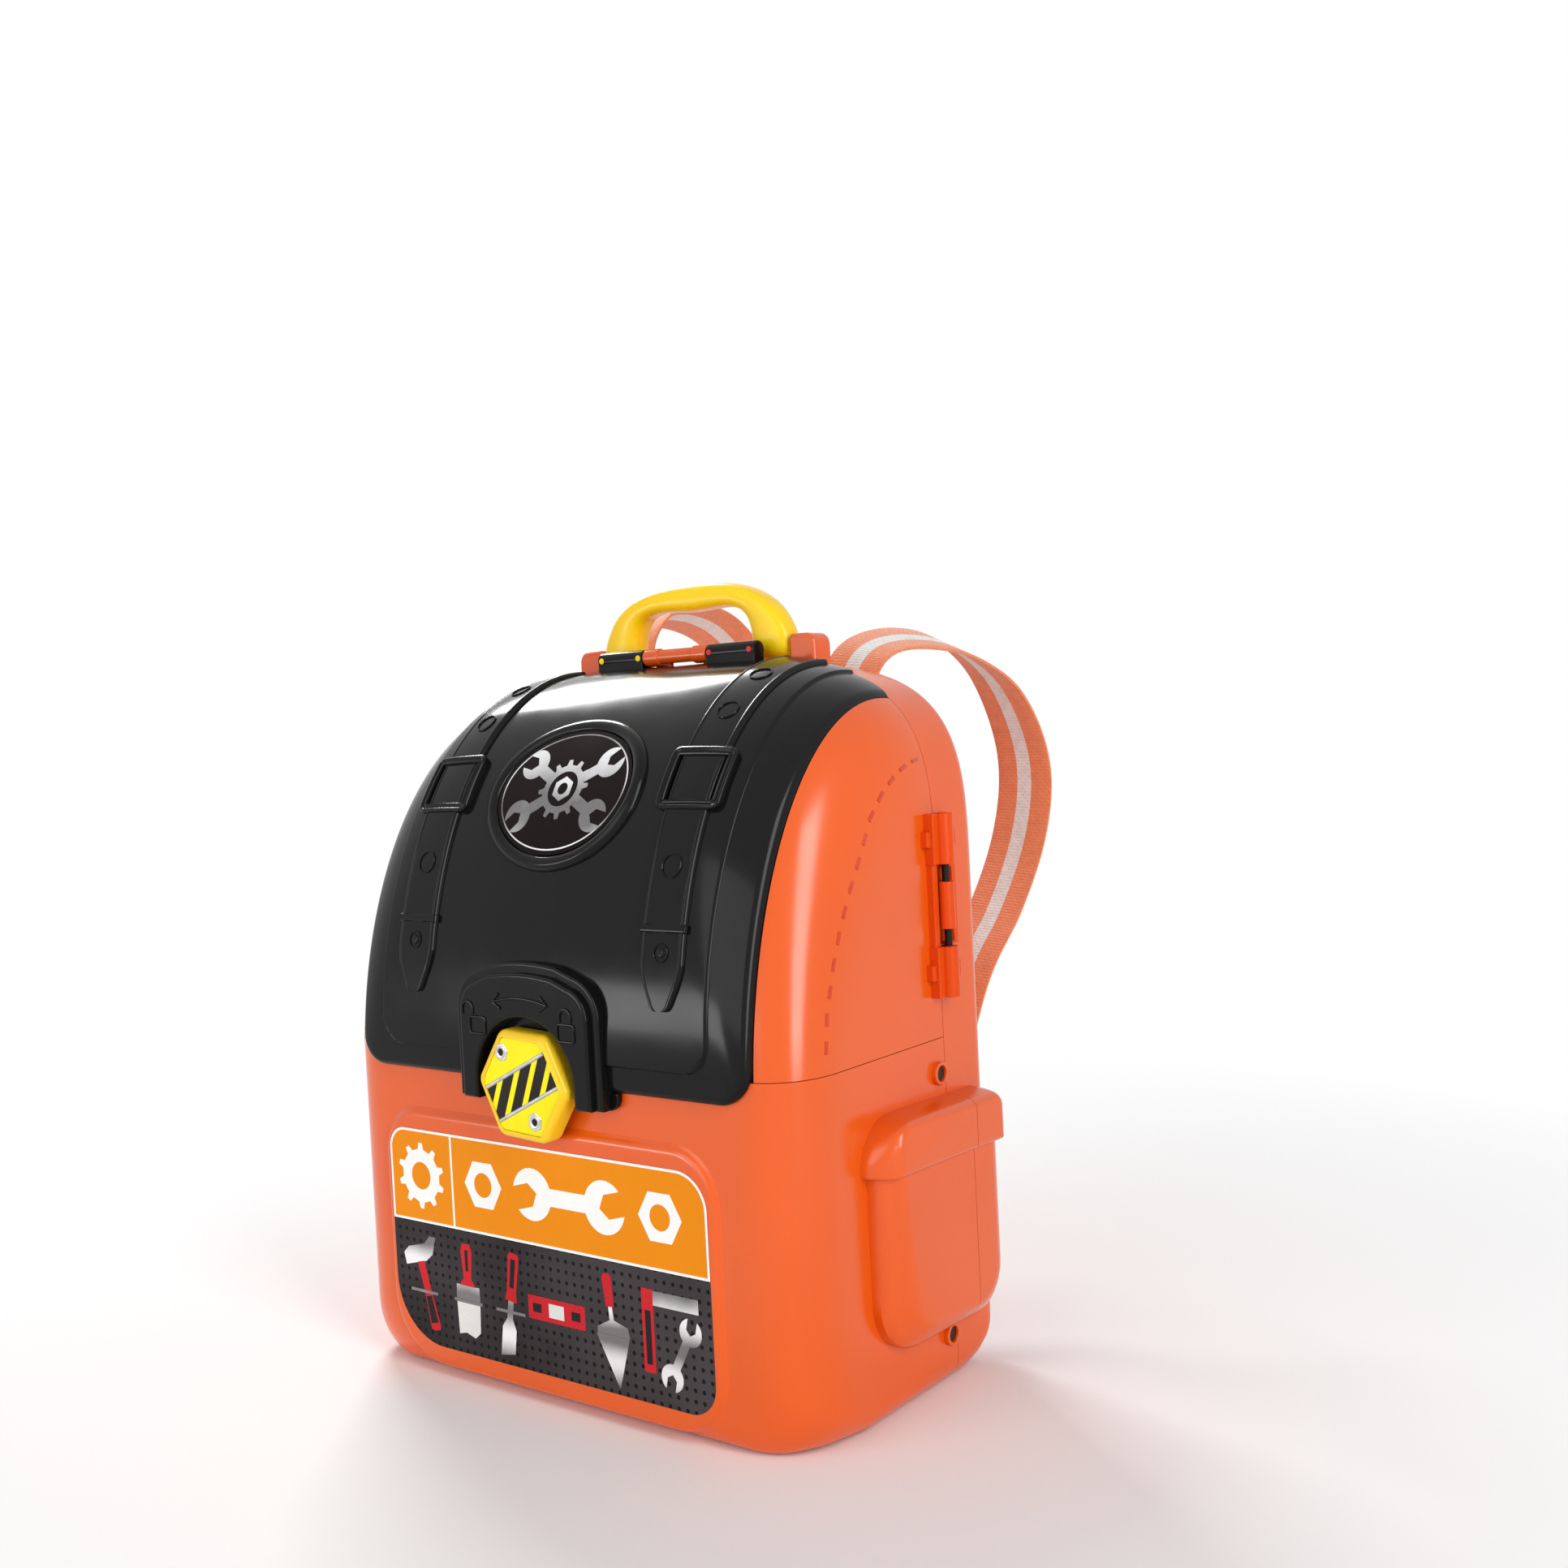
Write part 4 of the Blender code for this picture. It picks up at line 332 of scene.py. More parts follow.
def profile_table():
    """The middle profile in fine steps: way up the skin, y, z, outward direction and weight."""
    rise, share = HEIGHT - BIN, 2 / PROFILE_EXPONENT
    phi = np.linspace(0.0, math.pi / 2, 4001)
    forward = FRONT * np.maximum(np.cos(phi), 0) ** share
    up = rise * np.sin(phi) ** share
    length = np.append(0.0, np.cumsum(np.hypot(np.diff(forward), np.diff(up))))
    gy = (forward / FRONT) ** (PROFILE_EXPONENT - 1) / FRONT
    gz = (up / rise) ** (PROFILE_EXPONENT - 1) / rise
    size = np.hypot(gy, gz)
    return length, -forward, BIN + up, -gy / size, gz / size, phi / (math.pi / 2)


TABLE = profile_table()
LENGTH = TABLE[0][-1]


def station(up):
    """The middle profile at a distance up the skin."""
    values = [np.interp(np.clip(up, 0.0, LENGTH), TABLE[0], column) for column in TABLE[1:]]
    values[1] = values[1] + np.minimum(up, 0.0)
    return values


def corner_drop(x, weight):
    """How far the case falls away towards its side, from the front's plan to the arch over the top."""
    exponent = PLAN_EXPONENT + (SIDE_EXPONENT - PLAN_EXPONENT) * weight
    flat = PLAN_FLAT * (1.0 - weight)
    depth = PLAN_DEPTH + (SHOULDER - PLAN_DEPTH) * weight
    reach = np.clip((np.minimum(np.abs(x) / HALF, 1.0) - flat) / (1.0 - flat + 1e-9), 0.0, 1.0)
    return depth * (1.0 - (1.0 - reach ** exponent) ** (1.0 / exponent))


def skin(up, x, lift):
    y, z, ny, nz, weight = station(up)
    rise = lift - corner_drop(x, weight)
    return join(x, y + ny * rise, z + nz * rise)


def skin_normal(up, x, step=0.25):
    a = skin(np.minimum(up - step, LENGTH - 2 * step), x, 0.0)
    b = skin(np.minimum(up + step, LENGTH), x, 0.0)
    c, d = (skin(np.minimum(up, LENGTH - 1e-6), x + shift, 0.0) for shift in (-step, step))
    normal = np.cross(d - c, b - a)
    return normal / np.linalg.norm(normal, axis=-1)[..., None]


def flap_rise(up):
    """The flap stands prouder of the case at its foot than at its top."""
    low, high = 5.0, 2.6
    return low + (high - low) * np.clip(up / LENGTH, 0.0, 1.0)


def on_flap(x, up, height):
    x, up, height = np.broadcast_arrays(np.asarray(x, float), up, height)
    return skin(up, x, flap_rise(up)) + skin_normal(up, x) * height[..., None]


def box_distance(x, u, half, low, radius):
    """Depth inside an upright shape with straight sides at +-half, a floor at low and round corners."""
    dx = half - np.abs(x)
    du = u - low
    corner = radius - np.hypot(np.maximum(radius - dx, 0), np.maximum(radius - du, 0))
    return np.where((dx < radius) & (du < radius), corner, np.minimum(dx, du))


# Materials

class Finish:
    """A material, with short ways to build its nodes."""

    def __init__(self, name):
        self.material = bpy.data.materials.new(name)
        self.material.use_nodes = True
        self.tree = self.material.node_tree
        self.shader = self.tree.nodes["Principled BSDF"]
        self.place = self.add("TexCoord").outputs["Object"]

    def add(self, kind, **settings):
        made = self.tree.nodes.new("ShaderNode" + kind)
        for key, value in settings.items():
            setattr(made, key, value)
        return made

    def give(self, socket, value):
        if isinstance(value, bpy.types.NodeSocket):
            self.tree.links.new(value, socket)
        else:
            socket.default_value = value

    def node(self, kind, result, inputs, **settings):
        """One node with its inputs given, by name or number, and one of its outputs."""
        made = self.add(kind, **settings)
        for key, value in inputs.items():
            self.give(made.inputs[key], value)
        return made.outputs[result]

    def maths(self, operation, *values):
        return self.node("Math", 0, dict(enumerate(values)), operation=operation)

    def times(self, a, b):
        return self.maths("MULTIPLY", a, b)

    def plus(self, a, b):
        return self.maths("ADD", a, b)

    def minus(self, a, b):
        return self.maths("SUBTRACT", a, b)

    def near(self, value, limit):
        """One where the value is closer to zero than the limit."""
        return self.maths("LESS_THAN", self.maths("ABSOLUTE", value), limit)

    def noise(self, scale, detail, vector=None):
        return self.node("TexNoise", 0, {"Scale": scale, "Detail": detail, "Vector": vector or self.place})

    def stretched(self, scale):
        return self.node("Mapping", 0, {"Scale": scale, "Vector": self.place})

    def ramp(self, value, *stops):
        made = self.add("ValToRGB")
        for element, (position, colour) in zip(made.color_ramp.elements, stops):
            element.position = position
            element.color = (*colour, 1)
        self.give(made.inputs["Fac"], value)
        return made.outputs["Color"]

    def mix(self, factor, a, b):
        return self.node("Mix", 2, {0: factor, 6: a, 7: b}, data_type="RGBA")

    def spread(self, value, low, high, start=0.3, end=0.75):
        return self.node("MapRange", 0, {"Value": value, "From Min": start, "From Max": end, "To Min": low,
                                         "To Max": high})

    def bump(self, height, strength, distance):
        self.give(self.shader.inputs["Normal"],
                  self.node("Bump", 0, {"Strength": strength, "Distance": distance, "Height": height}))

    def millimetres(self, axis):
        """A coordinate of the surface in millimetres."""
        return self.times(self.node("SeparateXYZ", axis, {"Vector": self.place}), 1 / MM)

    def done(self, colour, roughness, **numbers):
        for name, value in (("base_color", colour), ("roughness", roughness), *numbers.items()):
            self.give(self.shader.inputs[name.replace("_", " ").title().replace("Ior", "IOR")], value)
        return self.material


def moulded(name, colour, deep, roughness, peel=0.010, gloss=0.32):
    """Moulded plastic: faint flow marks in the colour, orange peel, and fine scuffs in the gloss."""
    f = Finish(name)
    shade = f.ramp(f.noise(9.0, 4.0), (0.35, deep), (0.65, colour))
    scratch = f.noise(14.0, 6.0, f.stretched((9.0, 9.0, 1.4)))
    scuff = f.plus(f.times(f.noise(60.0, 6.0), 0.7), f.times(scratch, 0.3))
    f.bump(f.noise(420.0, 2.0), peel, 0.001)
    return f.done(shade, f.spread(scuff, roughness * 0.875, roughness * 1.25), specular_ior_level=gloss)


def metal(name, colour, roughness, scale=(300.0, 40.0, 300.0)):
    """Steel with a drawn grain."""
    f = Finish(name)
    grain = f.noise(3.0, 5.0, f.stretched(scale))
    shade = f.ramp(grain, (0.2, [c * 0.72 for c in colour]), (0.8, colour))
    f.bump(grain, 0.05, 0.0004)
    return f.done(shade, f.spread(grain, roughness * 0.8, roughness * 1.3), metallic=1.0)


def printed(name, colour, deep, roughness=0.30):
    """A printed film: an ink whose tone drifts, with a fine screen of dots in it."""
    f = Finish(name)
    tone = f.plus(f.noise(14.0, 3.0), f.times(f.noise(900.0, 1.0), 0.25))
    f.bump(f.noise(150.0, 2.0), 0.02, 0.0005)
    return f.done(f.ramp(tone, (0.35, deep), (0.85, colour)),
                  f.spread(f.noise(50.0, 4.0), roughness * 0.85, roughness * 1.25), specular_ior_level=0.08)


def knob_print():
    """Bright yellow film with a slanted band of black stripes."""
    f = Finish("knob_stripes")
    u, v = f.millimetres(0), f.minus(f.millimetres(2), LOCK_Z)
    slope, lean = math.radians(25.6), math.radians(69.5)
    off = f.minus(f.times(v, math.cos(slope)), f.times(u, math.sin(slope)))
    band = f.near(off, 6.95)
    along = f.minus(f.times(u, math.sin(lean)), f.times(v, math.cos(lean)))
    stripe = f.near(f.minus(f.maths("FRACT", f.plus(f.maths("DIVIDE", along, 7.3), 20.5)), 0.5), 0.33)
    tone = f.noise(25.0, 3.0)
    yellow = f.ramp(tone, (0.3, (0.88, 0.76, 0.004)), (0.7, (0.95, 0.86, 0.006)))
    black = f.ramp(tone, (0.3, (0.010, 0.007, 0.006)), (0.7, (0.020, 0.014, 0.012)))
    return f.done(f.mix(f.times(band, stripe), yellow, black), f.spread(f.noise(60.0, 4.0), 0.22, 0.34),
                  specular_ior_level=0.15)


def pegboard():
    """Dark film with rows of round holes printed on it."""
    f = Finish("label_board")
    gaps = []
    for axis in (0, 2):
        turn = f.maths("FRACT", f.plus(f.maths("DIVIDE", f.millimetres(axis), 4.1), 40.25))
        gaps.append(f.maths("POWER", f.minus(turn, 0.5), 2.0))
    hole = f.maths("LESS_THAN", f.plus(*gaps), 0.042)
    tone = f.plus(f.noise(16.0, 4.0), f.times(f.millimetres(0), 0.0012))
    board = f.ramp(tone, (0.30, (0.020, 0.016, 0.017)), (0.75, (0.062, 0.054, 0.057)))
    dark = f.ramp(tone, (0.30, (0.004, 0.003, 0.003)), (0.75, (0.010, 0.008, 0.008)))
    f.bump(f.noise(150.0, 2.0), 0.02, 0.0005)
    return f.done(f.mix(hole, board, dark), f.spread(f.noise(50.0, 4.0), 0.28, 0.40), specular_ior_level=0.06)


def silver_print(name, pitch, phase):
    """Silver ink that runs from grey to white and back."""
    f = Finish(name)
    wave = f.maths("SINE", f.plus(f.times(f.millimetres(2), math.tau / pitch), phase))
    tone = f.plus(f.times(wave, 0.34), f.times(f.noise(40.0, 3.0), 0.7))
    shade = f.ramp(tone, (0.05, (0.16, 0.155, 0.155)), (0.65, (0.84, 0.84, 0.85)))
    return f.done(shade, f.spread(f.noise(90.0, 3.0), 0.25, 0.4), metallic=0.2)


def webbing_cloth():
    """Woven webbing: ribs across, a fine twill, and a pale stripe down the middle."""
    f = Finish("webbing_cloth")
    cloth = f.node("UVMap", 0, {}, uv_map="cloth")
    across, along = (f.node("SeparateXYZ", axis, {"Vector": cloth}) for axis in (0, 1))
    ribs = f.maths("SINE", f.times(along, math.tau / 1.5))
    ends = f.maths("SINE", f.plus(f.times(across, math.tau * 9), f.times(along, 2.1)))
    height = f.plus(f.times(f.times(ribs, ends), 0.3), f.times(ribs, 0.25))
    # The tone follows the weave's height, lighter on the ribs and darker in the valleys between them: painted
    # shade, mixed with a random tone.
    shade = f.plus(f.times(height, 0.16), f.times(f.noise(260.0, 2.0), 0.3))
    tape = f.ramp(shade, (0.0, (0.70, 0.190, 0.070)), (0.3, (0.90, 0.290, 0.130)))
    pale = f.ramp(shade, (0.0, (0.62, 0.60, 0.57)), (0.3, (0.90, 0.89, 0.87)))
    f.bump(height, 0.6, 0.0004)
    stripe = f.near(f.minus(across, 0.5), 0.13)
    return f.done(f.mix(stripe, tape, pale), 0.82, sheen_weight=0.25, sheen_roughness=0.5)


ORANGE = moulded("orange_shell", (0.76, 0.100, 0.005), (0.72, 0.092, 0.004), 0.20, gloss=0.5)
# The stitches are moulded in the shell's own orange. Their darker orange is painted shade, standing for the
# shadows along the raised stitches.
STITCH_PAINTED_SHADE = moulded("orange_stitches_painted_shade", (0.60, 0.050, 0.003), (0.54, 0.044, 0.003), 0.2, gloss=0.5)
# The hinge parts are the shell's orange plastic. This darker, deeper copy of it is painted shade, for how
# little light the hinge catches.
HINGE_PAINTED_SHADE = moulded("orange_hinge_painted_shade", (0.73, 0.070, 0.004), (0.69, 0.063, 0.003), 0.3, gloss=0.15)
BLACK = moulded("black_shell", (0.007, 0.007, 0.0075), (0.0056, 0.0056, 0.006), 0.14, 0.004, 0.15)
YELLOW = moulded("yellow_grip", (1.0, 0.69, 0.006), (0.97, 0.60, 0.005), 0.25)
GOLD = moulded("yellow_rim", (0.92, 0.62, 0.016), (0.88, 0.56, 0.012), 0.2)
RED = moulded("red_cap", (0.55, 0.012, 0.012), (0.45, 0.010, 0.010), 0.3)
STEEL = metal("steel_parts", (0.62, 0.63, 0.65), 0.28)
# Near-black steel for the side hinge pins and the discs in the knob's nut holes: painted shade, standing for
# the shadow in the hinge windows and inside the holes.
PIN_PAINTED_SHADE = metal("pins_painted_shade", (0.030, 0.022, 0.020), 0.5)
NUTS = metal("bright_nuts", (0.60, 0.60, 0.62), 0.30, scale=(60.0, 12.0, 60.0))
# The side screws sit in deep recesses. Their dark reddish brown is painted shade plus a painted reflection of
# the orange round them, not the steel's own colour.
SCREW_PAINTED_SHADE = metal("screw_painted_shade", (0.085, 0.042, 0.034), 0.5)
WEBBING = webbing_cloth()
SLOTS = {ORANGE: "orange_plastic", STITCH_PAINTED_SHADE: "orange_plastic", HINGE_PAINTED_SHADE: "orange_plastic", BLACK: "black_plastic",
         RED: "black_plastic", YELLOW: "yellow_plastic", GOLD: "yellow_plastic", PIN_PAINTED_SHADE: "steel", NUTS: "steel",
         WEBBING: "webbing"}


# Flap

FLAP_EDGE = CHEEK - SEAM
FLAP_LOW = -8.5
FLAP_CORNER = 13.0
FLAP_WALL = 3.0
EDGE_ROUND = 2.6
EDGE_BAND = 16.0
PANEL_HALF = FLAP_EDGE - 17.0
PANEL_LOW = 2.7
PANEL_STEP = 1.3
PANEL_CORNER = 11.0
BELT_X = 65.2
BELT_HALF = 9.5
EMBLEM_UP = 103.5


def flap_half(up):
    """The flap's half width at a height; it draws in round the bottom corners."""
    over = max(FLAP_CORNER - (up - FLAP_LOW), 0.0)
    return float(FLAP_EDGE - FLAP_CORNER + math.sqrt(max(FLAP_CORNER ** 2 - over ** 2, 0.0)))


def flap_lift(x, up):
    """How far the flap's outside stands off the case, with its rolled edge and the step to its panel."""
    edge = np.clip(box_distance(x, up, FLAP_EDGE, FLAP_LOW, FLAP_CORNER), 0.0, EDGE_ROUND)
    roll = EDGE_ROUND - np.sqrt(np.maximum(EDGE_ROUND ** 2 - (EDGE_ROUND - edge) ** 2, 0.0))
    panel = box_distance(x, up, PANEL_HALF + PANEL_STEP, PANEL_LOW - PANEL_STEP, PANEL_CORNER)
    soft = np.clip(panel / 0.8, 0.0, 1.0)
    return flap_rise(up) - roll - PANEL_STEP * (1.0 - soft * soft * (3 - 2 * soft))


def make_flap():
    near = [0.0, 0.08, 0.3, 0.7, 1.2, 1.9, 2.6]
    ups = np.append([FLAP_LOW + d for d in near],
                    spaced((FLAP_LOW + 3.4, PANEL_LOW - 2.0, 0.9), (PANEL_LOW - 1.6, PANEL_LOW + 0.4, 0.26),
                           (PANEL_LOW + 1.0, 16.0, 0.9), (18.0, LENGTH - 2.0, 2.0),
                           (LENGTH - 0.6, LENGTH, 0.6)))
    right = np.append(spaced((0.0, PANEL_HALF - 12.0, 2.4), (PANEL_HALF - 11.0, PANEL_HALF - 1.0, 0.9),
                             (PANEL_HALF - 0.4, PANEL_HALF + 1.6, 0.26),
                             (PANEL_HALF + 2.4, FLAP_EDGE - 4.0, 1.6)),
                      [FLAP_EDGE - d for d in reversed(near)])
    lines = np.concatenate([-right[:0:-1], right])
    outer, inner = [], []
    for up in ups:
        half = flap_half(up)
        wide = np.where(np.abs(lines) > FLAP_EDGE - EDGE_BAND,
                        np.sign(lines) * (half - (FLAP_EDGE - np.abs(lines)) * half / FLAP_EDGE),
                        lines * (half - EDGE_BAND) / (FLAP_EDGE - EDGE_BAND))
        row = skin(up, wide, flap_lift(wide, up))
        tuck = box_distance(wide, up, FLAP_EDGE, FLAP_LOW, FLAP_CORNER) < 2.4
        back = np.where(tuck[:, None], skin(up, wide, -2.0 if up > 0.6 else 0.35),
                        skin(up, wide, flap_rise(up) - FLAP_WALL))
        for points, rows in ((row, outer), (back, inner)):
            points[:, 1] = np.minimum(points[:, 1], -SEAM)
            rows.append(points)
    shape = Shape()
    shape.shell(outer, inner)
    flap = make("flap_shell", shape, "flap", BLACK, "front_flap")
    notch = Shape()
    prism(notch, hasp_outline(1.6, below=20.0), [(-130.0, 0.0), (-80.0, 0.0)], face_y)
    cut(flap, make("notch", notch, "flap", BLACK))


def cut(piece, cutter):
    """Cut the cutter out of the piece and take it away."""
    modifier = piece.modifiers.new("cut", "BOOLEAN")
    modifier.operation = "DIFFERENCE"
    modifier.solver = "EXACT"
    modifier.object = cutter
    piece.modifiers.move(len(piece.modifiers) - 1, 0)
    with bpy.context.temp_override(object=piece, active_object=piece):
        bpy.ops.object.modifier_apply(modifier=modifier.name)
    bpy.data.objects.remove(cutter, do_unlink=True)


def surface_ring(shape, x, up, radius, rise, sides=40, width=0.6, base=1.5):
    """A raised ring that follows the flap."""
    rings = []
    for share, height in ((0, -0.4), (0, rise * 0.6), (0.3, rise), (0.7, rise), (1, rise * 0.6), (1, -0.4)):
        c, s = circle(sides, radius - width * share)
        rings.append(on_flap(x + c, up + s, base + height))
    shape.hoop(rings)


def rivet(shape, x, up, radius, rise, sides=28, base=1.5):
    """A low dome on the flap."""
    rings = []
    for t in (0.0, *np.linspace(0, 1, 6)[:-1]):
        c, s = circle(sides, radius * math.cos(t * math.pi / 2))
        rings.append(on_flap(x + c, up + s, base + rise * math.sin(t * math.pi / 2) if rings else base - 0.4))
    shape.loft(rings)


def make_belt(side):
    """One of the flap's moulded belts, with a pointed tip, three holes and a rivet."""
    tip = ((22.8, 1.6), (23.0, 2.8), (23.6, 3.7), (24.8, 4.6), (27.0, 5.6), (30.5, 7.2), (34.5, 8.7),
           (38.3, BELT_HALF))
    edge = ((-0.8, -1.2), (-0.6, 0.3), (-0.25, 1.0), (0.1, 1.5), (0.5, 1.8), (1.0, 1.85), (1.4, 1.7),
            (1.7, 1.5))
    rows = []
    for up, half in tip + tuple((up, BELT_HALF) for up in spaced((40.0, LENGTH - 3.2, 2.2))):
        section = [(across - half, height) for across, height in edge] + [(-half * 0.5, 1.5), (0.0, 1.5)]
        x, height = np.array(section + mirrored(section[:-1])).T
        rows.append(on_flap(side * BELT_X + x, up, height if rows else np.minimum(height, 0.5)))
    shape = Shape()
    shape.loft(rows)
    for up in (162.0, 138.0, 73.6):
        surface_ring(shape, side * BELT_X, up, 4.6, 0.6)
    surface_ring(shape, side * BELT_X, 43.0, 3.5, 0.55)
    rivet(shape, side * BELT_X, 43.0, 1.9, 0.8)
    make(SIDES[side] + "_belt", shape, "flap", BLACK)


def flap_frame(shape, outline, levels):
    """A ring-shaped moulding over the flap; levels list (inset, height)."""
    shape.hoop([on_flap(*inset(outline, amount).T, height) for amount, height in levels])


def make_buckle(side):
    """A belt's square buckle with a doubled rim, and the keeper over its tip."""
    middle, half, long, keeper = 107.2, 14.7, 12.8, 51.5
    rim = ((0.0, -1.0), (0.0, 1.7), (0.15, 2.2), (0.5, 2.6), (1.0, 2.75), (1.45, 2.6), (1.85, 2.15),
           (2.3, 2.0), (2.7, 2.15), (3.0, 2.45), (3.35, 2.5), (3.65, 2.25), (3.8, 1.8), (3.8, -1.0))
    shape = Shape()
    x = side * BELT_X
    outline = rounded_rect(x - half, middle - long, x + half, middle + long, 3.6, 6)
    flap_frame(shape, densify(outline, 2.0), rim)
    edge = [(-1.6, -0.8), (-1.6, 1.6), (-1.2, 2.1), (-0.6, 2.3)]
    across = np.array([-10.3, -10.1, -5.15, 0, 5.15, 10.1, 10.3])
    drop = np.where(np.abs(across) > 10.2, 0.5, 0.0)
    shape.grid([on_flap(x + across, keeper + up, height - drop) for up, height in edge + mirrored(edge)])
    make(SIDES[side] + "_buckle", shape, "flap", BLACK)


def oval(half_width, half_length):
    c, s = circle(96)
    return join(half_width * c, EMBLEM_UP + half_length * s)


def make_emblem():
    """The badge: a moulded ring, a dark film, and a silver gear on two crossed spanners."""
    shape = Shape()
    rim = ((0.0, -1.0), (0.0, 0.2), (0.5, 1.3), (1.4, 2.3), (2.6, 2.8), (3.8, 2.75), (4.8, 2.4), (5.5, 1.8),
           (5.9, 1.0), (6.0, -0.6))
    flap_frame(shape, oval(40.2, 32.8), rim)
    make("emblem_ring", shape, "flap", BLACK)
    film = printed("badge_film", (0.009, 0.003, 0.003), (0.004, 0.002, 0.002), 0.22)
    tool = spanner(59.0, 6.6, 2.8, 2.4)
    sheets = (("film", film, (((oval(33.9, 26.5),), 0.3, 1.35),)),
              ("art", silver_print("badge_silver", 58.0, -20.0),
               (((turned(tool, 29),), 1.2, 1.46), ((turned(tool, -29),), 1.2, 1.51),
                ((gear(12.6, 2.4, 12), polygon(40, 7.4)), 1.2, 1.62))),
              ("hub", film, (((polygon(40, 7.5),), 1.2, 1.57),)),
              ("lines", silver_print("badge_lines", 30.0, 1.0),
               (((polygon(6, 5.2, 30), polygon(32, 2.5)), 1.3, 1.66),)))
    for name, material, plates in sheets:
        shape = Shape()
        for loops, low, high in plates:
            shift = 0.0 if name == "film" else EMBLEM_UP
            plate(shape, [loop + (0.0, shift) for loop in loops], low, high, on_flap, 3.0)
        if name == "lines":
            ridge(shape, oval(31.9, 24.5), 0.3, 0.12, lambda u, v, h: on_flap(u, v, h + 1.35), True, 0.1)
        make("emblem_" + name, shape, "flap", material, "emblem_disc" if name == "film" else None, "emblem",
             weighted=False)


# Turn lock

LOCK_Z = 126.0
HASP_HALF = 33.6
HASP_TOP = 168.4
HASP_LOW = 119.0
HASP_RISE = 4.6
FLAP_FACE = -FRONT - 5.0
KNOB_FRONT = FLAP_FACE - HASP_RISE - 2.0


def hasp_outline(grow, below=0.0, slot=0.0):
    """The lock plate seen from the front; slot is the half width of its U-shaped opening."""
    half, top, low, radius, crown = HASP_HALF + grow, HASP_TOP + grow, HASP_LOW - below, 12.0 + grow, 4.0
    opening = [(-slot, low), *arc_points(0.0, LOCK_Z + 0.3, slot, 180, 0, 28), (slot, low)] if slot else []
    right = arc_points(half - radius, top - crown - radius, radius, 0, 78, 10)
    right += [((half - radius) * share, top - crown * 0.55 * share ** 2) for share in (0.75, 0.5, 0.25, 0.0)]
    return np.array([(-half, low), *opening, (half, low), *right, *mirrored(right[:-1])])


def make_hasp():
    """The lock plate in two steps, with two padlocks and a turning arrow raised on it."""
    half, rise = 0.55, 0.65
    shape = Shape()
    for grow, slot, back, step, edge in ((3.9, 25.6, 2.6, 2.2, 0.9), (0.0, 25.5, 2.9, HASP_RISE, 1.1)):
        levels = [(-FRONT - back, 0.0)] + round_edge(FLAP_FACE - step, edge)
        prism(shape, densify(hasp_outline(grow, slot=slot), 3.0), levels, face_y)

    def line(path, closed=False):
        ridge(shape, path, half, rise, lambda u, v, h: join(u, FLAP_FACE - HASP_RISE - h, v), closed)

    for side, swing in ((-1, -5.2), (1, 0.0)):
        centre, tip = side * 23.4, side * 14.6
        line(densify(rounded_rect(centre - 4.2, 144.2, centre + 4.2, 150.6, 0.8, 2), 1.5), True)
        x = centre + swing
        line([(x - 2.8, 151.4), *arc_points(x, 153.6, 2.8, 180, 0, 8), (x + 2.8, 151.4)])
        line([(tip - side * 3.6, 160.2), (tip, 157.0), (tip - side * 4.2, 154.8)])
    line([(x, 158.9 - (x / 14.2) ** 2 * 1.9) for x in np.linspace(-14.2, 14.2, 15)])
    make("hasp", shape, "flap", BLACK, "flap_lock_plate")


def hexagon(radius, corner, tilt=-3.0):
    """The knob seen from the front, with rounded corners."""
    points = []
    centre = radius - corner / math.cos(math.radians(30))
    for angle in np.arange(6) * 60 + tilt:
        a = math.radians(angle)
        x, z = centre * math.cos(a), LOCK_Z + centre * math.sin(a)
        points += arc_points(x, z, corner, angle - 30, angle + 30, 8)
    return np.array(points)


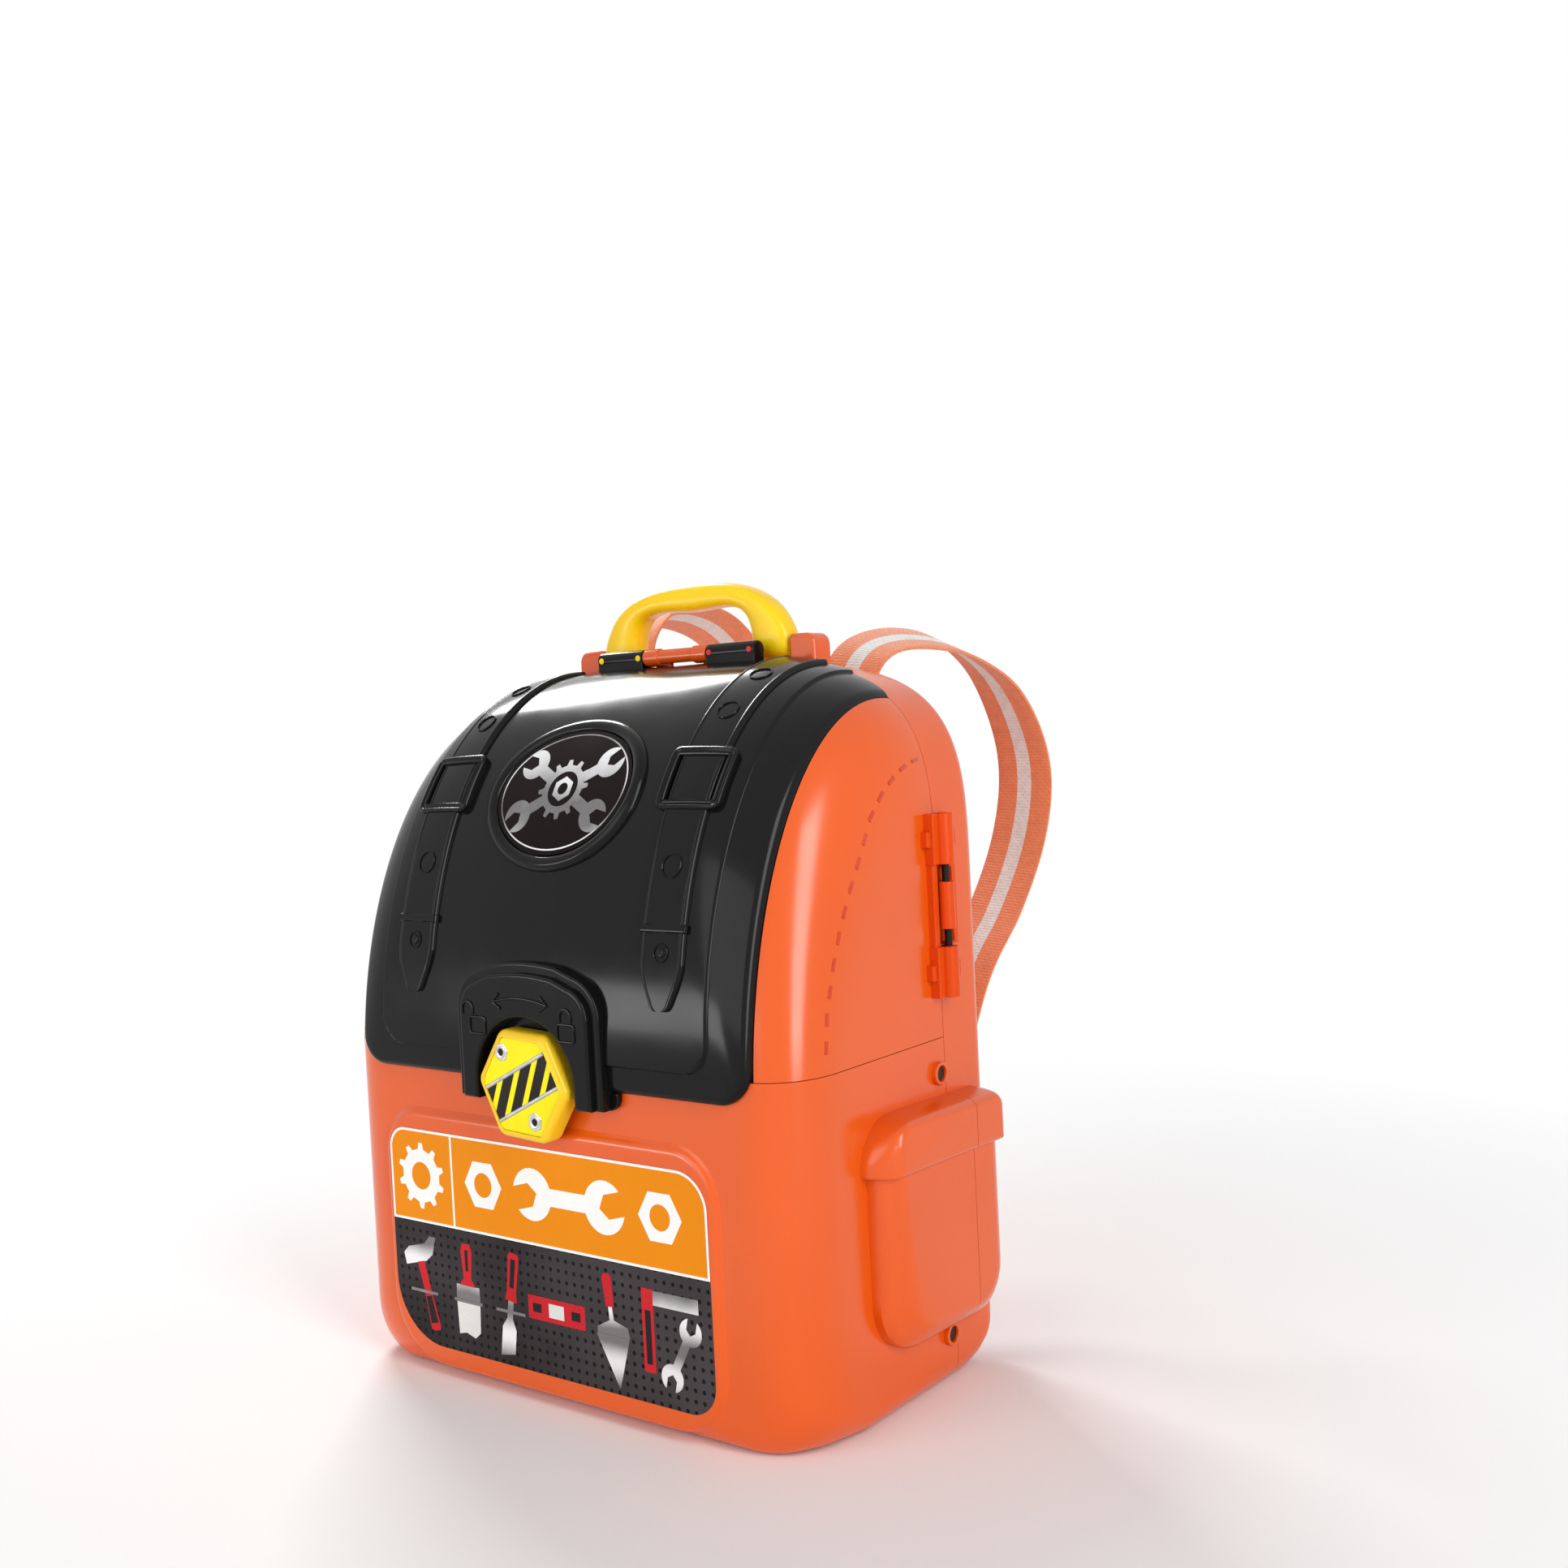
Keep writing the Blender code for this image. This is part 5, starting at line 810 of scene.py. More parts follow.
def make_knob():
    """The turn lock: a thick rim round a striped film, with two bars and two nuts on it."""
    def ahead(*levels):
        return [(KNOB_FRONT + distance, size) for distance, size in levels]

    outline = densify(hexagon(23.7, 5.0), 2.5)
    shape = Shape()
    levels = [(-100.2, 0.6), (-100.6, 0.15), (-101.2, 0.0)]
    levels += ahead((2.4, 0.0), (1.5, 0.3), (0.8, 0.8), (0.3, 1.4), (0.0, 2.1), (-0.05, 2.5), (0.15, 2.75),
                    (1.6, 2.85))
    prism(shape, outline, levels, face_y)
    rod(shape, "y", (0.0, LOCK_Z), [(-100.4, 6.0), (-94.7, 6.0), (-94.7, 1.9), (-99.0, 1.9)])
    make("knob_body", shape, "lock_knob", GOLD, "knob")
    shape = Shape()
    prism(shape, inset(outline, 2.9), ahead((1.3, 0.0), (0.7, 0.0), (0.6, 0.1)), face_y)
    make("knob_film", shape, "lock_knob", knob_print(), "knob_face", "knob_print")
    shape, holes = Shape(), Shape()
    y_axis = np.array([0.0, 1.0, 0.0])
    for ends in (((-18.9, -2.0), (12.4, 13.4)), ((-12.4, -14.2), (19.3, 1.4))):
        a, b = (np.array([x, KNOB_FRONT + 0.92, LOCK_Z + z]) for x, z in ends)
        run = (b - a) / np.linalg.norm(b - a)
        rings = []
        for at, radius in ((a, 0.55), (a + run * 0.3, 0.85), (b - run * 0.3, 0.85), (b, 0.55)):
            c, s = circle(20, radius)
            rings.append(at + np.outer(c, np.cross(run, y_axis)) + np.outer(s, y_axis))
        shape.loft(rings)
    for x, z, tilt in ((-9.8, 12.4, 8), (6.4, -12.8, 22)):
        centre = (x, LOCK_Z + z)
        prism(shape, polygon(6, 3.7, tilt) + centre, ahead((0.8, 0.0), (0.5, 0.0), (0.3, 0.3)), face_y)
        ring = ahead((0.45, 2.5), (0.25, 2.45), (0.06, 2.15), (0.06, 1.75), (0.25, 1.4), (0.45, 1.3))
        rod(shape, "y", centre, ring)
        rod(holes, "y", centre, ahead((0.45, 1.45), (0.25, 1.45)), 24)
    make("knob_metal", shape, "lock_knob", NUTS)
    # The discs in the nut holes are near-black painted shade, for the shade inside the holes.
    make("nut_holes", holes, "lock_knob", PIN_PAINTED_SHADE)


def make_lock_base():
    wide, narrow, foot, radius = 41.0, 37.5, 5.0, 26.5
    under, top, low = BIN - 8.8, BIN - 0.3, 118.5
    half = arc_points(wide - foot, low + foot, foot, -90, 0, 6)
    half += [(wide, under), (narrow, under), (narrow, top)]
    half += arc_points(0.0, LOCK_Z, radius, math.degrees(math.asin((top - LOCK_Z) / radius)), 90, 14)
    shape = Shape()
    prism(shape, densify(np.array(half + mirrored(half[:-1])), 3.0),
          [(-FRONT - 0.3, 0.0)] + round_edge(-FRONT - 2.3, 0.5, 3), face_y)
    make("lock_seat", shape, "case", BLACK, "lock_base")


# Bin and back shell

UNDER_ROUND = 10.5
PAD_FACE = -FRONT - 2.0


def rounding(distance, radius):
    gap = np.clip(1.0 - distance / radius, 0.0, 1.0)
    return float(radius * (1.0 - np.sqrt(1.0 - gap * gap)))


def lower_half(half_width, foot, shrink, lift, steps):
    """The case seen from the front, from the middle of its underside to where its side wall starts."""
    arc = [(half_width - foot + (foot - shrink) * math.cos(a), foot + lift + (foot - shrink) * math.sin(a))
           for a in np.linspace(-math.pi / 2, 0.0, steps)]
    return [(arc[0][0] * share, arc[0][1]) for share in (0.0, 0.33, 0.66)] + arc


def bin_ring(depth, half_width, shrink):
    """The bin seen from the front at a depth: an open line down one side, under and up the other."""
    foot = FOOT + 13.0 * max(0.0, 1.0 - depth / 40.0)
    half = lower_half(half_width, foot, shrink, rounding(depth, UNDER_ROUND), 15)
    half += [(half_width - shrink, z) for z in np.linspace(half[-1][1], BIN - SEAM, 14)[1:]]
    return np.array(mirrored(half[1:]) + half)


def make_bin():
    share = 2 / PLAN_EXPONENT
    places = [(PLAN_DEPTH * (1 - max(math.cos(t), 0.0) ** share),
               HALF * (PLAN_FLAT + (1 - PLAN_FLAT) * math.sin(t) ** share))
              for t in np.linspace(0.0, math.pi / 2, 17)]
    places += [(depth, HALF) for depth in (32.0, 36.0, 40.0, 55.0, 70.0, 85.0, FRONT - SEAM)]
    outer, inner = [], []
    for depth, half_width in places:
        for shrink, rows in ((0.0, outer), (WALL, inner)):
            x, z = bin_ring(depth, half_width, shrink).T
            rows.append(join(x, -FRONT + depth + (shrink if depth < FRONT - 1 else 0.0), z))
    shape = Shape()
    shape.shell(outer, inner, False)
    front, behind = (shape.wall(rows[0], rows[0][::-1], 13) for rows in (outer, inner))
    shape.strip(front[0], behind[0])
    boss = ((117.5, 4.5), (120.7, 4.5), (121.0, 4.35), (121.2, 4.0), (121.2, 3.3), (120.9, 3.1), (119.6, 3.1))
    for side in SIDES:
        for height in (20.5, 121.0):
            rod(shape, "x", (-5.6, height), [(side * x, radius) for x, radius in boss], 36)
    make("bin_shell", shape, "case", ORANGE, "lower_front_shell")


def make_pad():
    """The raised pad that carries the label."""
    outline = densify(rounded_rect(-91.0, 4.5, 83.0, 107.5, (28.0, 23.0, 19.0, 19.0), 12), 4.0)
    rings = []
    for amount, share in ((-2.6, -0.25), (-1.7, 0.06), (-1.0, 0.22), (-0.4, 0.45), (0.1, 0.68), (0.7, 0.86),
                          (1.5, 0.97), (2.4, 1.0), (4.0, 1.0)):
        x, z = inset(outline, amount).T
        low = np.clip(UNDER_ROUND - z, 0.0, UNDER_ROUND)
        ground = -FRONT + corner_drop(x, 0.0) + UNDER_ROUND - np.sqrt(UNDER_ROUND ** 2 - low ** 2)
        rings.append(join(x, ground + (PAD_FACE - ground) * share, z))
    shape = Shape()
    shape.faces.append(shape.grid(rings, True)[-1])
    make("label_pad", shape, "case", ORANGE)


def arch_ring(shrink, lift):
    """The case seen from the front, from the middle of the underside round to the other side."""
    half, shoulder, share = lower_half(HALF, FOOT, shrink, lift, 12), HEIGHT - SHOULDER, 2 / SIDE_EXPONENT
    half += [(HALF - shrink, z) for z in np.linspace(half[-1][1], shoulder, 15)[1:-1]]
    half += [((HALF - shrink) * math.cos(t) ** share, shoulder + (SHOULDER - shrink) * math.sin(t) ** share)
             for t in np.linspace(0.0, math.pi / 2, 40)[:-1]]
    return np.array(half + [(0.0, HEIGHT - shrink)] + mirrored(half[1:]))


def make_back():
    edge, under = 9.0, 22.0
    shape = Shape()
    rims = []
    for wall, steps, more in ((0.0, 12, (14.0, 22.0)), (WALL, 8, (12.0, 19.5))):
        depths = [*(np.linspace(0, 1, steps) ** 1.7 * (edge - wall)), *more]
        levels = [(BACK - wall - d, wall + rounding(d, edge - wall), rounding(d, under - wall))
                  for d in depths]
        rings = []
        for y, shrink, lift in levels + [(SEAM, wall, 0.0)]:
            x, z = arch_ring(shrink, lift).T
            rings.append(join(x, y, z))
        rims.append(shape.grid(rings, True)[-1])
        shape.wall(rings[0], np.roll(rings[0][::-1], 1, axis=0), 11)
    shape.strip(*rims, True)
    make("back_body", shape, "case", ORANGE, "back_shell")


# Label

LABEL = (-88.3, 12.5, 80.2, 100.3)
BAND_LOW, SQUARE = 62.3, -51.8
BAND_Z = 82.0
# Each tool: its place and turn on the board, then its parts, each an ink and an outline.
TOOLS = {
    "hammer": (-71.0, 38.0, 14.0, (
        ("grey", (-9.5, 8), (-9.5, 13), (-6, 15), (4, 15), (8, 17.5), (11.5, 16.5), (7.5, 10), (3, 8)),
        ("red", (-2.4, 8.2), (-1.9, -4), (-2.6, -19), (-1, -20), (2.4, -20), (3.2, -18.5), (2.2, -4),
         (1.8, 8.2)),
        ("black", (-1.6, -6), (-2.0, -17), (2.2, -17), (1.6, -6)))),
    "brush": (-46.0, 37.0, 0.0, (
        ("red", (-2.2, 20), (2.2, 20), (3.2, 17), (2.2, 6), (4.6, 3), (-4.6, 3), (-2.2, 6), (-3.2, 17)),
        ("grey", (-6.5, 3.2), (6.5, 3.2), (6.9, -4), (-6.9, -4)),
        ("pale", (-6.6, -4), (6.6, -4), (6.1, -15), (3, -17.5), (-2, -16), (-6.1, -17)),
        ("black", (-0.9, 17.5), (0.9, 17.5), (0.7, 9), (-0.7, 9)))),
    "chisel": (-22.0, 36.0, -8.0, (
        ("red", (-3, 20), (-2, 21.5), (2, 21.5), (3, 20), (2.5, 6), (3.3, 2), (-3.3, 2), (-2.5, 6)),
        ("black", (-1.3, 19), (1.3, 19), (1.1, 7.5), (-1.1, 7.5)),
        ("grey", (-1.5, 2.1), (1.5, 2.1), (1.5, -5), (3.8, -9), (3.8, -18.5), (-3.8, -21), (-3.8, -9),
         (-1.5, -5)))),
    "level": (3.0, 38.0, 0.0, (
        ("red", (-15, 4.6), (15, 4.6), (15, -4.6), (-15, -4.6)),
        ("pale", (-4, 2.7), (4, 2.7), (4, -2.7), (-4, -2.7)),
        ("black", (-12.5, 1.7), (-8, 1.7), (-8, -1.7), (-12.5, -1.7)),
        ("black", (8, 1.7), (12.5, 1.7), (12.5, -1.7), (8, -1.7)))),
    "trowel": (32.0, 36.0, 6.0, (
        ("red", (-2.4, 20), (-1.2, 21.5), (1.2, 21.5), (2.4, 20), (2.0, 9), (-2.0, 9)),
        ("grey", (-0.9, 9.1), (0.9, 9.1), (1.1, 4), (7.6, 1.5), (8.2, -2), (0.2, -21), (-0.2, -21),
         (-8.2, -2), (-7.6, 1.5), (-1.1, 4)))),
    "square": (60.0, 36.0, 0.0, (
        ("red", (-13, 19), (-7.5, 19), (-7.5, -12), (-13, -12)),
        ("grey", (-7.6, 18.6), (14, 18.6), (14, 13.2), (-7.6, 13.2)),
        ("black", (-11.6, 11), (-8.9, 11), (-8.9, -9), (-11.6, -9)))),
    "spanner": (65.0, 33.0, 62.0, (("grey", *spanner(31.0, 5.2, 2.2, 1.8)),)),
}
HOOKS = (-72.0, -46.0, -22.0, 32.0)
INKS = {"grey": None, "red": ((0.62, 0.022, 0.030), (0.46, 0.010, 0.016)),
        "pale": ((0.80, 0.79, 0.76), (0.60, 0.59, 0.56)),
        "black": ((0.020, 0.018, 0.020), (0.010, 0.009, 0.010))}


def box(x0, z0, x1, z1):
    return [(x0, z0), (x1, z0), (x1, z1), (x0, z1)]


def make_label():
    """The front's printed film: a pale-lined band over a dark board, with plain pictures of hand tools."""
    x0, z0, x1, z1 = LABEL
    outline = rounded_rect(x0, z0, x1, z1, (26.0, 12.0, 14.0, 9.0), 12)
    ends = np.array([(x0, BAND_LOW), (x1, BAND_LOW)])
    high = outline[:, 1] > BAND_LOW
    band = np.concatenate([ends, outline[high]])
    line = box(SQUARE - 0.5, BAND_LOW, SQUARE + 0.5, z1 - 0.5)
    wheel = [turned(gear(13.5, 2.6, 10), 9, -70.2, 81.4), polygon(40, 5.6) + (-70.2, 81.4)]
    nuts = [[polygon(6, 10.4) + (x, BAND_Z), polygon(32, 4.9) + (x, BAND_Z)] for x in (-34.0, 58.0)]
    signs = [[band, inset(band, 1.0)], wheel, [spanner(58.0, 10.2, 4.6, 3.4) + (12.0, BAND_Z)], *nuts]
    yellow = printed("label_band", (0.82, 0.265, 0.004), (0.78, 0.240, 0.003))
    white = printed("label_white", (0.93, 0.93, 0.91), (0.86, 0.86, 0.84))
    sheets = {"board": (pegboard(), [([np.concatenate([outline[~high], ends[::-1]])], -0.2, 0.12)]),
              "band": (yellow, [([band], -0.2, 0.12)]),
              "lines": (white, [([line], 0.0, 0.175)] + [(loops, 0.0, 0.18) for loops in signs])}
    for k, (ink, tones) in enumerate(INKS.items()):
        plates = [([turned(points, degrees, x, z)], 0.0, 0.17 + 0.03 * k)
                  for x, z, degrees, parts in TOOLS.values() for tone, *points in parts if tone == ink]
        film = printed("ink_" + ink, *tones) if tones else silver_print("ink_grey", 21.0, 0.6)
        sheets[ink] = (film, plates)
    sheets["grey"][1].extend(([box(x - 8, 33.2, x + 8, 34.4)], 0.0, 0.30) for x in HOOKS)
    for name, (material, plates) in sheets.items():
        shape = Shape()
        for loops, low, high in plates:
            plate(shape, loops, low, high, lambda u, v, h: join(u, PAD_FACE - h, v))
        make("label_" + name, shape, "case", material, weighted=False)


# Side pockets

# Each: an outline at the wall and one outside (two corners in y and z, then the corner radii), the
# levels (way out, share of the way from the first outline to the second, inset), and how far it leans.
POCKET = ((-56.5, 27.0, 26.0, 106.0, (20.0, 18.0, 8.0, 8.0)),
          (-44.5, 34.0, 16.5, 104.0, (15.0, 13.0, 4.0, 4.0)),
          ((-1.5, 0.0, 0.0), (3.6, 0.0, 0.0), (5.4, 0.10, 0.0), (6.9, 0.28, 0.0), (7.7, 0.42, 0.0),
           (8.3, 0.55, 0.0), (9.1, 0.66, 0.0), (9.9, 0.80, 0.0), (10.5, 0.92, 0.2), (10.9, 1.0, 0.7),
           (11.15, 1.0, 1.8), (11.25, 1.0, 3.4)), 3.0)
LID = ((-60.0, 93.4, 28.0, 114.0, (1.0, 1.0, 13.0, 19.0)), (-53.5, 93.4, 21.0, 112.0, (1.0, 1.0, 5.0, 8.0)),
       ((-1.5, 0.0, 0.0), (2.4, 0.0, 0.0), (5.2, 0.16, 0.0), (8.0, 0.40, 0.0), (10.3, 0.66, 0.0),
        (11.4, 0.86, 0.1), (12.3, 1.0, 0.45), (12.95, 1.0, 1.05), (13.3, 1.0, 1.8), (13.4, 1.0, 2.6)), 0.0)


def split_at_seam(piece):
    """Part a moulding along the seam, as its two halves meet there."""
    mesh = piece.data
    whole = bmesh.new()
    for sign in (-1, 1):
        half = bmesh.new()
        half.from_mesh(mesh)
        found = bmesh.ops.bisect_plane(half, geom=half.verts[:] + half.edges[:] + half.faces[:],
                                       plane_co=(0, (SET_BACK + sign * SEAM) * MM, 0), plane_no=(0, -sign, 0),
                                       clear_outer=True)
        bmesh.ops.holes_fill(half, edges=[e for e in found["geom_cut"] if isinstance(e, bmesh.types.BMEdge)])
        spare = bpy.data.meshes.new("half")
        half.to_mesh(spare)
        half.free()
        whole.from_mesh(spare)
        bpy.data.meshes.remove(spare)
    bmesh.ops.recalc_face_normals(whole, faces=whole.faces)
    whole.to_mesh(mesh)
    whole.free()
    shade(mesh, 32)


def make_pocket(side):
    """A side pocket and its lid: rings run from a wide outline at the wall to a narrower one outside."""
    for name, (wall, face, levels, lean) in (("_pocket", POCKET), ("_pocket_lid", LID)):
        rings = []
        for out, share, amount in levels:
            a, b = (rounded_rect(y0 + amount, z0 + amount, y1 - amount, z1 - amount,
                                 [max(r - amount, 0.2) for r in radii], 9)
                    for y0, z0, y1, z1, radii in (wall, face))
            b[:, 0] -= lean * np.clip((b[:, 1] - 58.0) / 20.0, 0.0, 2.3) * np.clip(-b[:, 0] / 30.0, 0.0, 1.0)
            y, z = (a + (b - a) * share).T
            rings.append(join(side * (HALF + out), y, z - 0.03 * (y + 56.0)))
        shape = Shape()
        shape.loft(rings)
        split_at_seam(make(SIDES[side] + name, shape, "case", ORANGE, angle=50, weighted=False))


# Wings

STITCH = 4.6
STITCH_PATH = np.array(((-2.7, 241.3), (-12.0, 239.6), (-20.5, 236.6), (-31.4, 229.7), (-40.6, 220.9),
                        (-50.6, 205.3), (-57.1, 195.2), (-63.6, 183.3), (-68.7, 171.4), (-74.1, 154.6),
                        (-76.2, 140.8)))
WING_HINGE_X = HALF + 4.3
WING_HINGE_LOW, WING_HINGE_HIGH, KNUCKLE = 150.0, 220.0, 19.3


def make_wing(side):
    """The side door: a shell that follows the skin, and a row of stitches laid on it."""
    word, body = SIDES[side] + "_wing", SIDES[side] + "_wing_body"
    edge = CHEEK + SEAM
    shares = np.sin(np.linspace(0, math.pi / 2, 22)) ** 0.85
    xs = edge + (HALF - edge) * shares
    outer, inner = [], []
    for up in spaced((0.15, 6.0, 0.8), (8.0, LENGTH - 8.0, 3.0), (LENGTH - 6.0, LENGTH, 1.0)):
        for lift, rows in ((0.0, outer), (-WALL, inner)):
            row = skin(up, xs, lift)
            row[:, 0] = edge + (HALF + lift - edge) * shares
            if up < 0.2:
                row[:, 2] = BIN + SEAM
            x, y, z = row[-1]
            row = np.concatenate([row, [(x, at, z) for at in np.linspace(min(y, -SEAM), -SEAM, 9)[1:]]])
            row[:, 1] = np.minimum(row[:, 1], -SEAM)
            rows.append(row * (side, 1, 1))
    shape = Shape()
    shape.shell(outer, inner)
    wing = make(word + "_shell", shape, body, ORANGE, word)
    tree = BVHTree.FromPolygons([v.co for v in wing.data.vertices], [p.vertices for p in wing.data.polygons])

    def on_wing(u, v, h):
        points = []
        for y, z, height in join(u, v, h):
            start = Vector((side * 0.3, (y + SET_BACK) * MM, z * MM))
            hit, normal = tree.ray_cast(start, Vector((-side, 0, 0)))[:2]
            points.append((hit + normal * height * MM) / MM - Vector((0, SET_BACK, 0)))
        return np.array(points)

    length = np.append(0.0, np.cumsum(np.hypot(*np.diff(STITCH_PATH, axis=0).T)))
    shape = Shape()
    for start in np.arange(2.0, length[-1] - STITCH, STITCH * 2.1):
        at = np.linspace(start, start + STITCH, 6)
        ridge(shape, join(*(np.interp(at, length, column) for column in STITCH_PATH.T)), 0.75, 0.45, on_wing)
    # The stitches take the darker orange of painted shade.
    make(word + "_stitches", shape, body, STITCH_PAINTED_SHADE)


def soft_brick(shape, side, low, high, radius):
    """A block between two corners, given for the right side, with rounded upright edges and softened ends."""
    (x0, y0, z0), (x1, y1, z1) = low, high
    x0, x1 = sorted((side * x0, side * x1))
    soft = radius * 0.6
    levels = [(z0, soft), (z0 + soft, 0.0), (z1 - soft, 0.0), (z1, soft)]
    prism(shape, rounded_rect(x0, y0, x1, y1, radius, 3), levels, join, lip=0.2)


def make_wing_hinge(side):
    """Two knuckles and a strip on the wing, and between them the case's own knuckle with its two windows."""
    wall, centre = 118.0, (side * WING_HINGE_X, 0.0)
    spans = ((WING_HINGE_LOW, WING_HINGE_LOW + KNUCKLE), (WING_HINGE_HIGH - KNUCKLE, WING_HINGE_HIGH))
    wing, rail = Shape(), Shape()
    for low, high in spans:
        middle = (low + high) / 2
        barrel(wing, "z", centre, low, high, 3.7, 0.4)
        soft_brick(wing, side, (wall, -7.4, low), (123.2, -0.4, high), 0.45)
        soft_brick(wing, side, (wall, -9.8, middle - 3.0), (122.0, -7.0, middle + 3.0), 0.5)
        soft_brick(rail, side, (wall, 4.4, low), (120.4, 7.4, high), 0.4)
        soft_brick(rail, side, (wall, 5.1, middle - 3.0), (122.0, 10.6, middle + 3.0), 0.5)
    low, high = spans[0][1] + 0.3, spans[1][0] - 0.3
    soft_brick(wing, side, (wall, -6.8, low - 0.6), (121.9, -3.4, high + 0.6), 0.35)
    barrel(rail, "z", centre, low + 6.4, high - 6.4, 3.1, 0.3)
    for a, b in ((low, low + 1.1), (low + 6.4, high - 6.4), (high - 1.1, high)):
        soft_brick(rail, side, (wall, 0.6, a), (123.4, 5.2, b), 0.35)
    soft_brick(rail, side, (wall, 4.4, low), (123.4, 7.2, high), 0.35)
    # The side hinge takes the darker orange of painted shade.
    make(SIDES[side] + "_wing_hinge", wing, SIDES[side] + "_wing_body", HINGE_PAINTED_SHADE)
    make(SIDES[side] + "_hinge_rail", rail, "case", HINGE_PAINTED_SHADE)


# Top hinge, handle and brackets

HINGE_Y, HINGE_Z = -5.0, 287.7
HANDLE_Y, HANDLE_Z = 9.0, 290.0
# The grip's outer and inner edge from the leg to the middle: x and z of each, as shares of its size.
HANDLE = ((0.975, 0.20, 0.99, 0.27), (0.92, 0.38, 0.97, 0.51), (0.855, 0.555, 0.93, 0.71),
          (0.765, 0.69, 0.85, 0.88), (0.66, 0.805, 0.73, 0.975), (0.53, 0.91, 0.52, 1.02),
          (0.31, 0.985, 0.26, 0.99))


def make_top_hinge():
    """The flap's two barrels with their coloured caps, and between them the case's knuckles and pin cover."""
    axis, barrels, knuckles = (HINGE_Y, HINGE_Z), Shape(), Shape()
    for side in SIDES:
        low, high = sorted((side * 17.6, side * 43.0))
        barrel(barrels, "x", axis, low, high, 3.6, 0.6)
        soft_brick(barrels, 1, (low + 0.1, HINGE_Y - 3.4, 281.6), (high - 0.1, HINGE_Y + 3.4, HINGE_Z), 0.5)
        low, high = sorted((side * 9.0, side * 17.3))
        barrel(knuckles, "x", axis, low, high, 3.6, 0.6)
        soft_brick(knuckles, 1, (low, HINGE_Y, 283.9), (high, 2.5, HINGE_Z + 1.8), 0.5)
        soft_brick(knuckles, 1, (low, 0.3, 279.5), (high, 2.5, HINGE_Z), 0.3)
    rod(knuckles, "x", axis, [(-9.4, 3.0), (9.4, 3.0)])
    make("flap_hinge_barrels", barrels, "flap", BLACK)
    for side, colour in ((-1, YELLOW), (1, RED)):
        caps = Shape()
        for x in (19.6, 40.6):
            profile = [(HINGE_Y - 2.6, 1.3), (HINGE_Y - 3.75, 1.3), (HINGE_Y - 3.95, 1.0)]
            rod(caps, "y", (side * x, HINGE_Z), profile, 20)
        make(SIDES[side] + "_hinge_caps", caps, "flap", colour)
    make("case_hinge_knuckles", knuckles, "case", ORANGE)


def make_handle():
    """The grip: rings run along it from one leg's rounded foot to the other's."""
    half, rise, leg, grip, depth, wave = 52.0, 28.2, 20.5, 11.4, 14.5, 0.9
    under = rise - grip
    right = []
    for a in map(math.radians, (76, 52, 27, 0)):
        drop = -depth / 2 * math.sin(a)
        right.append((half, drop, half - leg, drop, math.cos(a)))
    right += [(half * a, rise * b, (half - leg) * c, under * d, 1.0) for a, b, c, d in HANDLE]
    spine = right + [(0.0, rise, 0.0, under - wave, 1.0)]
    spine += [(-ox, oz, -ix, iz, share) for ox, oz, ix, iz, share in reversed(right)]
    a = math.tau * (np.arange(16) + 0.5) / 16
    u, v = (np.copysign(np.abs(value) ** 0.75, value) for value in (np.cos(a), np.sin(a)))
    shape = Shape()
    shape.loft([join((ox + ix) / 2 + (ox - ix) / 2 * u, HANDLE_Y + depth / 2 * share * v,
                     HANDLE_Z + (oz + iz) / 2 + (oz - iz) / 2 * u) for ox, oz, ix, iz, share in spine])
    make("grip", shape, "carry_handle", YELLOW, "handle", subdivision=2, angle=180)


def make_bracket(side):
    """The block at one end of the handle, and the saddle that it stands on."""
    x0, x1, top, round_out, round_in, half = 52.3, 64.8, 293.2, 4.8, 1.2, 6.0
    low = float(HEIGHT - corner_drop(66.0, 1.0)) - 2.0
    block = [(x0, low), (x1, low)] + arc_points(x1 - round_out, top - round_out, round_out, 0, 90, 8)
    block += arc_points(x0 + round_in, top - round_in, round_in, 90, 180, 4)
    saddle = rounded_rect(39.6, low, 53.0, 282.0, (0.3, 0.3, 0.3, 0.9), 3)
    shape = Shape()
    for loop, ends in ((np.array(block), [(0.0, 1.0), (0.25, 0.7), (0.8, 0.12), (1.1, 0.0)]),
                       (saddle, [(0.3, 0.3), (0.7, 0.0)])):
        levels = [(HANDLE_Y - half + d, amount) for d, amount in ends]
        levels += [(HANDLE_Y + half - d, amount) for d, amount in reversed(ends)]
        prism(shape, loop, levels, lambda u, v, w: join(side * u, w, v))
    make(SIDES[side] + "_bracket", shape, "case", ORANGE, SIDES[side] + "_handle_bracket")


# Straps

# Each place on a strap: outwards, to the rear and up, as shares of the case's height, and the tilt in
# degrees. The heights count from the top anchor, and in LOWER from the low one.
ANCHOR = ((0, 0, -0.035, 0), (0, 0, 0.032, 0))
UPPER = {1: ((0, 0.015, 0.090, 5.2), (0.005, 0.066, 0.128, 12.9), (0.014, 0.160, 0.140, 22.0),
             (0.028, 0.261, 0.126, 24.6), (0.043, 0.356, 0.074, 20.7), (0.050, 0.420, -0.012, 14.2),
             (0.050, 0.442, -0.100, 9.1)),
         -1: ((0.018, 0.008, 0.100, 3.0), (0.030, 0.032, 0.160, 8.0), (0.030, 0.087, 0.201, 14.0),
              (0.031, 0.170, 0.210, 19.0), (0.038, 0.268, 0.184, 20.0), (0.046, 0.360, 0.112, 17.5),
              (0.050, 0.422, 0.014, 13.0), (0.050, 0.442, -0.090, 9.1))}
MIDDLE = ((0.045, 0.415, -0.201, 5.2), (0.036, 0.346, -0.305, 2.6), (0.024, 0.250, -0.410, 1.3))
